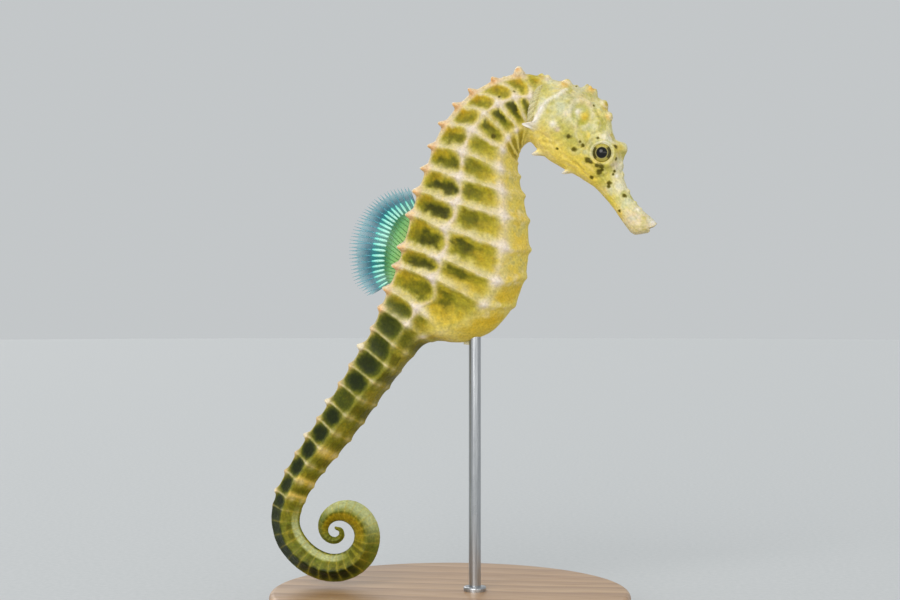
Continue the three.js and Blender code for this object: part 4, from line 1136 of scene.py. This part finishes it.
def lathe(profile, segments, axis="z", centre=(0, 0, 0), side=1):
    """Closed surface from (radius, height) stops, whose first and last lie on the axis."""
    profile = np.asarray(profile, float)
    turn = 2 * math.pi * np.arange(segments) / segments
    inner = profile[1:-1]
    x = inner[:, :1] * np.cos(turn)
    y = inner[:, :1] * np.sin(turn)
    h = np.broadcast_to(inner[:, 1:], x.shape)
    body = np.stack([x, y, h], axis=2).reshape(-1, 3)
    vertices = np.vstack([body, [0, 0, profile[0, 1]], [0, 0, profile[-1, 1]]])
    rows = len(inner)
    faces = round_faces(rows, segments)
    for k in range(segments):
        m = (k + 1) % segments
        faces.append((rows * segments, m, k))
        faces.append((rows * segments + 1, (rows - 1) * segments + k, (rows - 1) * segments + m))
    if axis == "y":
        vertices = np.stack([vertices[:, 0], -side * vertices[:, 2], vertices[:, 1]], axis=1)
        if side < 0:
            faces = [face[::-1] for face in faces]
    return vertices + np.array(centre, float), faces


# ---- materials


class Shade:
    """A node material with a Principled shader, and short ways to add to it."""

    def __init__(self, name, **fixed):
        self.material = bpy.data.materials.new(name)
        self.material.use_nodes = True
        self.tree = self.material.node_tree
        self.shader = self.tree.nodes["Principled BSDF"]
        for socket, value in fixed.items():
            self.shader.inputs[socket.replace("_", " ")].default_value = value
        self.place = self.node("ShaderNodeTexCoord").outputs["Object"]

    def node(self, kind, **settings):
        made = self.tree.nodes.new(kind)
        for name, value in settings.items():
            setattr(made, name, value)
        return made

    def link(self, source, target):
        self.tree.links.new(source, target)

    def feed(self, socket, source):
        self.link(source, self.shader.inputs[socket])

    def noise(self, size, detail=2.0, stretch=None, roughness=0.5):
        """Noise from 0 to 1 whose blots are about size mm."""
        made = self.node("ShaderNodeTexNoise")
        made.inputs["Scale"].default_value = 1 / (size * MM)
        made.inputs["Detail"].default_value = detail
        made.inputs["Roughness"].default_value = roughness
        place = self.place
        if stretch:
            mapping = self.node("ShaderNodeMapping")
            mapping.inputs["Scale"].default_value = stretch
            self.link(place, mapping.inputs["Vector"])
            place = mapping.outputs["Vector"]
        self.link(place, made.inputs["Vector"])
        return made.outputs["Fac"]

    def cells(self, size):
        """Distance from the middle of random cells about size mm across."""
        made = self.node("ShaderNodeTexVoronoi")
        made.inputs["Scale"].default_value = 1 / (size * MM)
        self.link(self.place, made.inputs["Vector"])
        return made.outputs["Distance"]

    def ranged(self, value, low, high, to_low, to_high):
        made = self.node("ShaderNodeMapRange")
        for name, number in zip(("From Min", "From Max", "To Min", "To Max"), (low, high, to_low, to_high)):
            made.inputs[name].default_value = number
        self.link(value, made.inputs["Value"])
        return made.outputs["Result"]

    def attribute(self, name):
        return self.node("ShaderNodeAttribute", attribute_name=name)

    def blend(self, factor, first, second, how="MIX"):
        """A mix of two colours, each a socket or a linear colour."""
        made = self.node("ShaderNodeMix", data_type="RGBA", blend_type=how)
        for index, value in ((0, factor), (6, first), (7, second)):
            if isinstance(value, bpy.types.NodeSocket):
                self.link(value, made.inputs[index])
            elif index == 0:
                made.inputs[index].default_value = value
            else:
                made.inputs[index].default_value = (*value, 1)
        return made.outputs[2]

    def tinted(self, base, value, low, high, most, tint, how="MIX"):
        """The base colour with a display colour blended in, up to most, as value goes from low to high."""
        return self.blend(self.ranged(value, low, high, 0, most), base, linear(tint), how)

    def rough(self, value, low, high, smooth, dull):
        self.feed("Roughness", self.ranged(value, low, high, smooth, dull))

    def add(self, first, second, weight):
        made = self.node("ShaderNodeMath", operation="MULTIPLY_ADD")
        self.link(second, made.inputs[0])
        made.inputs[1].default_value = weight
        self.link(first, made.inputs[2])
        return made.outputs[0]

    def bump(self, height, depth):
        """Bump of about depth mm."""
        made = self.node("ShaderNodeBump")
        made.inputs["Strength"].default_value = 1.0
        made.inputs["Distance"].default_value = depth * MM
        self.link(height, made.inputs["Height"])
        self.feed("Normal", made.outputs["Normal"])


SPECKLE = colour(150, 140, 70)


def skin_material():
    shade = Shade("seahorse_skin", Subsurface_Weight=0.12, Subsurface_Scale=0.0006,
                  Specular_IOR_Level=0.16, Coat_Weight=0.04, Coat_Roughness=0.3)
    shade.shader.inputs["Subsurface Radius"].default_value = (1.0, 0.7, 0.35)
    laid = shade.attribute("skin_colour").outputs["Color"]
    grain = shade.noise(0.42, 3)
    mottle = shade.noise(1.1, 3)
    pores = shade.cells(0.5)
    lighter = shade.tinted(laid, grain, 0.5, 0.75, 0.5, CREAM, "SOFT_LIGHT")
    darker = shade.tinted(lighter, grain, 0.5, 0.2, 0.35, SPECKLE, "MULTIPLY")
    shade.feed("Base Color", shade.tinted(darker, mottle, 0.5, 0.72, 0.3, GOLD, "SOFT_LIGHT"))
    shade.rough(mottle, 0.3, 0.7, 0.4, 0.6)
    height = shade.add(shade.add(shade.noise(0.3, 4, roughness=0.6), pores, -0.35), mottle, 0.5)
    shade.bump(height, 0.055)
    return shade.material


def eye_material():
    shade = Shade("eyeball", Coat_Weight=0.35, Coat_Roughness=0.03, Specular_IOR_Level=0.25)
    laid = shade.attribute("eye_colour").outputs["Color"]
    flecks = shade.noise(0.16, 3)
    shade.feed("Base Color", shade.tinted(laid, flecks, 0.45, 0.7, 0.35, PLATE_DARK, "MULTIPLY"))
    shade.rough(flecks, 0.3, 0.7, 0.1, 0.24)
    shade.bump(flecks, 0.006)
    return shade.material


def fin_material():
    shade = Shade("fin_film", Coat_Weight=0.2, Coat_Roughness=0.2, Subsurface_Weight=0.0)
    laid = shade.attribute("fin_colour")
    dots = shade.cells(0.42)
    grain = shade.noise(0.5, 2)
    dotted = shade.tinted(laid.outputs["Color"], dots, 0.32, 0.12, 0.5, colour(30, 84, 62), "MULTIPLY")
    shade.feed("Base Color", shade.tinted(dotted, grain, 0.4, 0.7, 0.4, colour(190, 226, 190), "SOFT_LIGHT"))
    shade.feed("Alpha", laid.outputs["Alpha"])
    shade.rough(grain, 0.3, 0.7, 0.28, 0.45)
    shade.bump(grain, 0.02)
    return shade.material


def wood_material():
    shade = Shade("base_wood", Coat_Weight=0.25, Coat_Roughness=0.18)
    wander = shade.noise(26, 2, (0.35, 1.0, 1.0))
    rings = shade.node("ShaderNodeTexWave", wave_type="BANDS", bands_direction="Y", wave_profile="SAW")
    rings.inputs["Scale"].default_value = 42
    rings.inputs["Distortion"].default_value = 5.5
    rings.inputs["Detail"].default_value = 2.5
    rings.inputs["Detail Scale"].default_value = 1.2
    mapping = shade.node("ShaderNodeMapping")
    mapping.inputs["Scale"].default_value = (0.22, 1.0, 1.0)
    shade.link(shade.place, mapping.inputs["Vector"])
    shade.link(mapping.outputs["Vector"], rings.inputs["Vector"])
    fibre = shade.noise(0.5, 3, (0.05, 1.0, 1.0))
    light, dark = colour(196, 158, 112), colour(150, 108, 66)
    banded = shade.tinted(linear(light), rings.outputs["Fac"], 0.1, 0.95, 0.8, dark)
    wide = shade.tinted(banded, wander, 0.35, 0.7, 0.5, colour(176, 132, 86))
    shade.feed("Base Color", shade.tinted(wide, fibre, 0.5, 0.75, 0.4, dark, "MULTIPLY"))
    shade.rough(fibre, 0.3, 0.7, 0.34, 0.5)
    shade.bump(fibre, 0.03)
    return shade.material


def steel_material():
    shade = Shade("rod_steel", Metallic=1.0)
    brush = shade.noise(0.12, 3, (1.0, 1.0, 0.012))
    marks = shade.noise(3.0, 2)
    pale, deep = colour(196, 198, 200), colour(150, 153, 157)
    shade.feed("Base Color", shade.tinted(linear(pale), brush, 0.3, 0.7, 1, deep))
    shade.rough(shade.add(brush, marks, 0.5), 0.5, 1.1, 0.24, 0.42)
    shade.bump(brush, 0.008)
    return shade.material


def floor_material():
    shade = Shade("floor_paper")
    fibre = shade.noise(1.2, 3)
    pale, deep = colour(204, 206, 207), colour(198, 201, 202)
    shade.feed("Base Color", shade.tinted(linear(pale), fibre, 0.3, 0.7, 1, deep))
    shade.rough(fibre, 0.3, 0.7, 0.75, 0.9)
    return shade.material


# ---- eyes

PUPIL_RADIUS = 1.08
CORNEA_RADIUS = 1.5
CORNEA_RISE = 0.1


def eye_tints(vertices, centre):
    """Colours of an eyeball: black pupil, fine pale rings, and gold with a dark patch before and behind."""
    dx, dz = vertices[:, 0] - centre[0], vertices[:, 2] - centre[2]
    away = np.hypot(dx, dz)
    along = np.abs(dx) / np.maximum(away, 1e-6)
    paint = Paint(colour(186, 170, 70), vertices.shape)
    patch = smoothstep(0.62, 0.85, along) * window(away, 1.1, 1.25, 1.8, 2.0)
    paint.lay(colour(58, 52, 4), patch * 0.95)
    paint.lay(colour(206, 196, 118), bell(away - 1.92, 0.09) * 0.8)
    paint.lay(colour(96, 88, 20), bell(away - 1.72, 0.06) * 0.6 * (1 - along))
    paint.lay(colour(200, 190, 120), bell(away - 1.5, 0.07) * 0.5 * (1 - along))
    paint.lay(colour(196, 188, 130), bell(away - 1.2, 0.05) * 0.75)
    paint.lay(colour(3, 4, 5), 1 - smoothstep(PUPIL_RADIUS - 0.02, PUPIL_RADIUS + 0.06, away))
    return linear(paint.rgb)


def make_eye(name, side, node, material):
    centre = (EYE_CENTRE[0], -side * EYE_CENTRE[1], EYE_CENTRE[2])
    polar = np.radians(np.linspace(0, 180, 61))
    radius = EYE_RADIUS * np.sin(polar)
    height = -EYE_RADIUS * np.cos(polar)
    rise = CORNEA_RISE * np.clip(1 - (radius / CORNEA_RADIUS) ** 2, 0, 1) ** 2
    height = height + np.where(height > 0, rise, 0)
    vertices, faces = lathe(np.stack([radius, height], axis=1), 96, "y", centre, side)
    parts = [(vertices, faces, eye_tints(vertices, centre))]
    return node_piece(name, parts, node, material, "eye_colour")


# ---- fins

FILM_THICKNESS = 0.09
# The dorsal fin's root runs along the back between two ribs. Stops of three lines across the fin, each x and
# z in mm: where its bright streaks start, where they end, and its outer edge.
DORSAL_FIN = {"from": 18.6, "to": 22.2, "rays": 21}
STREAK_STARTS = [
    (-6.5, 82.4), (-9.2, 81.4), (-11.0, 80.0), (-12.2, 77.9), (-13.0, 75.4), (-13.4, 72.4), (-13.4, 69.6),
    (-12.6, 67.2),
]
STREAK_ENDS = [
    (-7.4, 84.4), (-10.6, 83.2), (-13.0, 81.5), (-14.6, 79.0), (-15.5, 75.9), (-15.9, 72.4), (-15.7, 69.0),
    (-14.2, 66.0),
]
FIN_EDGE = [
    (-8.3, 86.8), (-12.4, 86.0), (-16.2, 83.6), (-18.9, 80.4), (-20.3, 76.5), (-20.5, 72.0), (-19.6, 67.6),
    (-16.6, 64.6),
]
# Parts of a ray, from its root, at those lines.
BAND_END, STREAK_END = 0.4, 0.61
# Colours along the film, each with how much it hides.
DORSAL_FILM = (
    [0.0, 0.1, 0.26, 0.36, 0.42, 0.6, 0.66, 0.8, 1.0],
    [(196, 190, 70, 1.0), (160, 196, 96, 0.98), (116, 184, 104, 0.96), (44, 118, 70, 0.96),
     (6, 120, 104, 0.94), (0, 116, 130, 0.9), (0, 94, 118, 0.72), (24, 136, 156, 0.36),
     (100, 186, 196, 0.14)],
)


def back_point(rib, depth=0.0):
    """A point of the back's middle line, depth mm under the skin: x and z."""
    x = np.interp(rib, grid.u, grid.points[:, 0, 0])
    z = np.interp(rib, grid.u, grid.points[:, 0, 2])
    nx = np.interp(rib, grid.u, grid.normals[:, 0, 0])
    nz = np.interp(rib, grid.u, grid.normals[:, 0, 2])
    return np.array([x - nx * depth, z - nz * depth])


def dorsal_point(across, out):
    """A point of the dorsal fin: across from 0, its upper end, to 1, and out from 0, its root, to 1."""
    stop = np.array([across * (len(FIN_EDGE) - 1)])
    start, end, edge = (spline(line, stop)[0] for line in (STREAK_STARTS, STREAK_ENDS, FIN_EDGE))
    root = back_point(DORSAL_FIN["from"] + (DORSAL_FIN["to"] - DORSAL_FIN["from"]) * across, 0.5)
    stages = (0, BAND_END, STREAK_END, 1)
    x, z = (np.interp(out, stages, (root[i], start[i], end[i], edge[i])) for i in (0, 1))
    wave = 0.5 * math.sin(2 * math.pi * (2.4 * across + 0.25)) * out**1.5
    return np.array([x, wave, z])


def film(point_at, columns, rows, edge, tints_at):
    """A thin closed film over a fan of rays: its vertices, faces and colours."""
    sheet, tints = [], []
    for i in range(columns + 1):
        for k in range(rows + 1):
            a = i / columns
            f = k / rows * edge(a)
            sheet.append(point_at(a, f))
            tints.append(tints_at(a, f))
    sheet = np.array(sheet)
    half = np.array([0, FILM_THICKNESS / 2, 0])
    vertices = np.concatenate([sheet - half, sheet + half])
    count, wide = len(sheet), rows + 1
    faces = []
    for i in range(columns):
        for k in range(rows):
            a = i * wide + k
            faces.append((a, a + wide, a + wide + 1, a + 1))
            faces.append((count + a, count + a + 1, count + a + wide + 1, count + a + wide))
    rim = [i * wide for i in range(columns + 1)] + [columns * wide + k for k in range(1, wide)]
    rim += [i * wide + rows for i in range(columns - 1, -1, -1)] + [k for k in range(rows - 1, 0, -1)]
    for a, b in zip(rim, rim[1:] + rim[:1]):
        faces.append((b, a, count + a, count + b))
    return vertices, faces, np.concatenate([tints, tints])


def film_tint(table, out):
    stops, values = table
    values = np.array(values, float)
    shade = [np.interp(out, stops, values[:, i]) for i in range(4)]
    return np.r_[linear(np.array(shade[:3]) / 255), shade[3]]


def make_dorsal_fin(material):
    rays = DORSAL_FIN["rays"]

    def edge(across):
        return 1 - 0.15 * abs(math.cos(2 * math.pi * rays * across))

    parts = [film(dorsal_point, rays * 10, 34, edge, lambda across, out: film_tint(DORSAL_FILM, out))]
    streak = np.r_[linear(colour(188, 246, 226)), 1.0]
    glow = np.r_[linear(colour(96, 214, 204)), 1.0]
    stalk = np.r_[linear(colour(78, 140, 66)), 1.0]
    fringe = np.r_[linear(colour(88, 168, 188)), 0.8]
    for i in range(rays):
        across = (i + 0.5) / rays
        size = 0.62 + 0.38 * math.sin(math.pi * across) ** 0.5

        def line(start, end, steps, drift=0.0):
            stops = np.linspace(start, end, steps)
            return [dorsal_point(across + drift * (f - start) / (end - start), f) for f in stops]

        parts.append((*tube(line(0.02, BAND_END, 8), 0.1 * size, 8, 1.4), stalk))
        blade = line(BAND_END - 0.02, STREAK_END, 12)
        bulge = np.sin(np.linspace(0.16, math.pi - 0.16, 12)) ** 0.4
        mix = np.repeat(np.linspace(0, 1, 12), 10)[:, None] ** 1.5
        parts.append((*tube(blade, 0.31 * size * bulge, 10, 0.75), streak * (1 - mix) + glow * mix))
        for drift in (-0.25 / rays, 0.25 / rays):
            branch = line(STREAK_END - 0.01, 0.995, 12, drift)
            width = np.linspace(0.08, 0.035, 12) * (0.7 + 0.3 * size)
            parts.append((*tube(branch, width, 6, 1.3), fringe))
    return node_piece("dorsal_fin_film", parts, "dorsal_fin", material, "fin_colour")


# The pectoral fins lie folded behind the gill covers. Roots are given by rib and way, lengths in mm.
PECTORAL_FIN = {"rib": 9.95, "first_way": 1.4, "last_way": 2.75, "rays": 14, "length": 2.5, "flare": 0.2}
ANAL_FIN = {"from": 22.4, "to": 22.95, "rays": 9, "length": 0.85}
CLEAR_FILM = ([0.0, 0.3, 1.0], [(206, 186, 110, 0.95), (208, 192, 132, 0.85), (216, 204, 160, 0.6)])


def surface_point(rib, way, depth=0.0):
    """A point of the finished skin, depth mm under it, and its outward normal."""
    row = int(np.argmin(np.abs(grid.u - rib)))
    point, normal = (np.array([np.interp(way, grid.ways, field[row, :, i]) for i in range(3)])
                     for field in (grid.points, grid.normals))
    return point - unit(normal) * depth, unit(normal)


def fan_piece(name, point_at, rays, columns, rows, node, material):
    """A small clear fin of a film with rays in it."""

    def edge(across):
        return 1 - 0.05 * abs(math.sin(math.pi * (across * (rays - 1) + 0.5)))

    parts = [film(point_at, columns, rows, edge, lambda across, out: film_tint(CLEAR_FILM, out))]
    ray = np.r_[linear(colour(214, 204, 150)), 0.9]
    for i in range(rays):
        across = i / (rays - 1)
        line = [point_at(across, f) for f in np.linspace(0.02, 0.98, 10)]
        parts.append((*tube(line, np.linspace(0.085, 0.04, 10), 6), ray))
    return node_piece(name, parts, node, material, "fin_colour")


def make_pectoral_fin(name, side, node, material):
    first, last = PECTORAL_FIN["first_way"], PECTORAL_FIN["last_way"]

    def point_at(across, out):
        way = first + (last - first) * across
        root, normal = surface_point(PECTORAL_FIN["rib"], way, 0.2)
        length = PECTORAL_FIN["length"] * (0.25 + 0.75 * math.sin(math.pi * (0.08 + 0.84 * across)) ** 0.6)
        fanned = math.radians(-150 + 16 * across)
        ahead = np.array([math.cos(fanned), 0, math.sin(fanned)])
        ahead = ahead - normal * np.dot(ahead, normal)
        lifted = PECTORAL_FIN["flare"] + 0.2 + 0.06 * math.sin(across * 40)
        point = root + ahead * length * out + normal * lifted * min(1.0, 3 * out)
        return np.array([point[0], side * point[1], point[2]])

    return fan_piece(name, point_at, PECTORAL_FIN["rays"], 40, 14, node, material)


def make_anal_fin(material):
    def point_at(across, out):
        rib = ANAL_FIN["from"] + (ANAL_FIN["to"] - ANAL_FIN["from"]) * across
        root, _ = surface_point(rib, 4, 0.2)
        length = ANAL_FIN["length"] * (0.3 + 0.8 * math.sin(math.pi * (0.1 + 0.8 * across))) + 0.2
        away = unit(np.array([-0.25, 0, -1.0]) + 0.5 * (across - 0.5) * np.array([1.0, 0, 0]))
        return root * np.array([1, 0, 1]) + away * length * out

    return fan_piece("anal_fin_film", point_at, ANAL_FIN["rays"], 16, 8, "anal_fin", material)


# ---- stand

BASE_EDGE_ROUND = 1.1
BASE_FOOT_ROUND = 0.5
ROD_COLLAR_RADIUS = 2.3
ROD_COLLAR_HEIGHT = 0.9


def rounded_disc(radius, bottom, top, top_round, foot_round):
    """Profile of a disc with rounded edges, from its middle below to its middle above."""
    def arc(middle_r, middle_h, size, start, end):
        turn = np.radians(np.linspace(start, end, 9))
        return list(zip(middle_r + size * np.cos(turn), middle_h + size * np.sin(turn)))

    stops = [(0, bottom), (radius * 0.5, bottom)]
    stops += arc(radius - foot_round, bottom + foot_round, foot_round, -90, 0)
    stops += arc(radius - top_round, top - top_round, top_round, 0, 90)
    stops += [(radius * 0.8, top), (radius * 0.5, top), (radius * 0.2, top), (0, top)]
    return stops


def turned(profile, segments, x=0):
    """An uncoloured part turned round the upright axis at x."""
    return (*lathe(profile, segments, centre=(x, 0, 0)), np.zeros((1, 3)))


def make_stand():
    disc = rounded_disc(BASE_RADIUS, 0, BASE_HEIGHT, BASE_EDGE_ROUND, BASE_FOOT_ROUND)
    collar = rounded_disc(ROD_COLLAR_RADIUS, BASE_HEIGHT - 0.2, BASE_HEIGHT + ROD_COLLAR_HEIGHT, 0.35, 0.05)
    shaft = rounded_disc(ROD_RADIUS, BASE_HEIGHT - 0.5, ROD_TOP, 0.4, 0.1)
    rod = [turned(collar, 64, ROD_X), turned(shaft, 48, ROD_X)]
    return [
        node_piece("stand_base_disc", [turned(disc, 160)], "stand_base", wood_material()),
        node_piece("stand_rod_shaft", rod, "stand_rod", steel_material()),
    ]


# ---- stage, lights and camera

FLOOR_RADIUS = 2500


def make_floor():
    rings = (0, 60, 200, 700, FLOOR_RADIUS)
    vertices = [(0, 0, 0)]
    count = 72
    for radius in rings[1:]:
        for k in range(count):
            turn = 2 * math.pi * k / count
            vertices.append((radius * math.cos(turn), radius * math.sin(turn), 0))
    faces = [(0, 1 + k, 1 + (k + 1) % count) for k in range(count)]
    faces += [face[::-1] for face in round_faces(len(rings) - 1, count, 1)]
    floor = new_mesh("studio_floor", vertices, faces, floor_material())


def set_world():
    world = bpy.data.worlds.new("studio")
    bpy.context.scene.world = world
    world.use_nodes = True
    background = world.node_tree.nodes["Background"]
    background.inputs["Color"].default_value = (*linear(colour(226, 230, 232)), 1)
    background.inputs["Strength"].default_value = 0.72


def soft_sun(name, direction, strength, spread, tint=(1, 1, 1)):
    """A wide, even light that comes from a direction; spread is its width in degrees."""
    data = bpy.data.lights.new(name, "SUN")
    data.energy = strength
    data.angle = math.radians(spread)
    data.color = tint
    lamp = bpy.data.objects.new(name, data)
    bpy.context.scene.collection.objects.link(lamp)
    aim_at(lamp, 1000 * unit(np.array(direction, float)), np.zeros(3))


def aim_at(thing, start, end):
    thing.location = Vector(start * MM)
    thing.rotation_euler = Vector(end - start).to_track_quat("-Z", "Y").to_euler()


def make_lights():
    soft_sun("key", (-0.2, -0.92, 0.45), 1.75, 44, (1.0, 0.985, 0.96))
    soft_sun("fill", (0.6, -0.8, -0.45), 1.6, 80, (1.0, 0.99, 0.96))
    soft_sun("rim", (-0.6, 0.9, 0.7), 0.7, 40)


def make_camera():
    data = bpy.data.cameras.new("camera")
    data.sensor_width = SENSOR_WIDTH
    data.lens = CAMERA_DISTANCE * SENSOR_WIDTH / (IMAGE_WIDTH * MM_PER_PIXEL)
    data.clip_start = 0.01
    data.clip_end = 20
    camera = bpy.data.objects.new("camera", data)
    bpy.context.scene.collection.objects.link(camera)
    yaw = math.radians(CAMERA_YAW)
    start = np.array([CAMERA_DISTANCE * math.sin(yaw), -CAMERA_DISTANCE * math.cos(yaw), CAMERA_HEIGHT])
    aim_at(camera, start, np.array([0, 0, CAMERA_HEIGHT]))
    bpy.context.scene.camera = camera


# ---- the whole model

FLESH = [
    "snout", "head", "coronet", "gill_cover_right", "gill_cover_left", "neck", "chest", "belly", "tail_base",
    "tail_middle", "tail_curl_outer", "tail_curl_front", "tail_curl_top", "tail_tip",
]


def make_seahorse():
    skin = make_skin(skin_material())
    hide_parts(*FLESH)
    eyes, fins = eye_material(), fin_material()
    return [
        skin,
        make_eye("eyeball_right", 1, "eye_right", eyes),
        make_eye("eyeball_left", -1, "eye_left", eyes),
        make_dorsal_fin(fins),
        make_pectoral_fin("pectoral_fin_right_film", 1, "pectoral_fin_right", fins),
        make_pectoral_fin("pectoral_fin_left_film", -1, "pectoral_fin_left", fins),
        make_anal_fin(fins),
    ]


for piece in make_seahorse() + make_stand():
    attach(piece, "root")
make_floor()
set_world()
make_lights()
make_camera()
bpy.context.scene.view_settings.view_transform = "Standard"
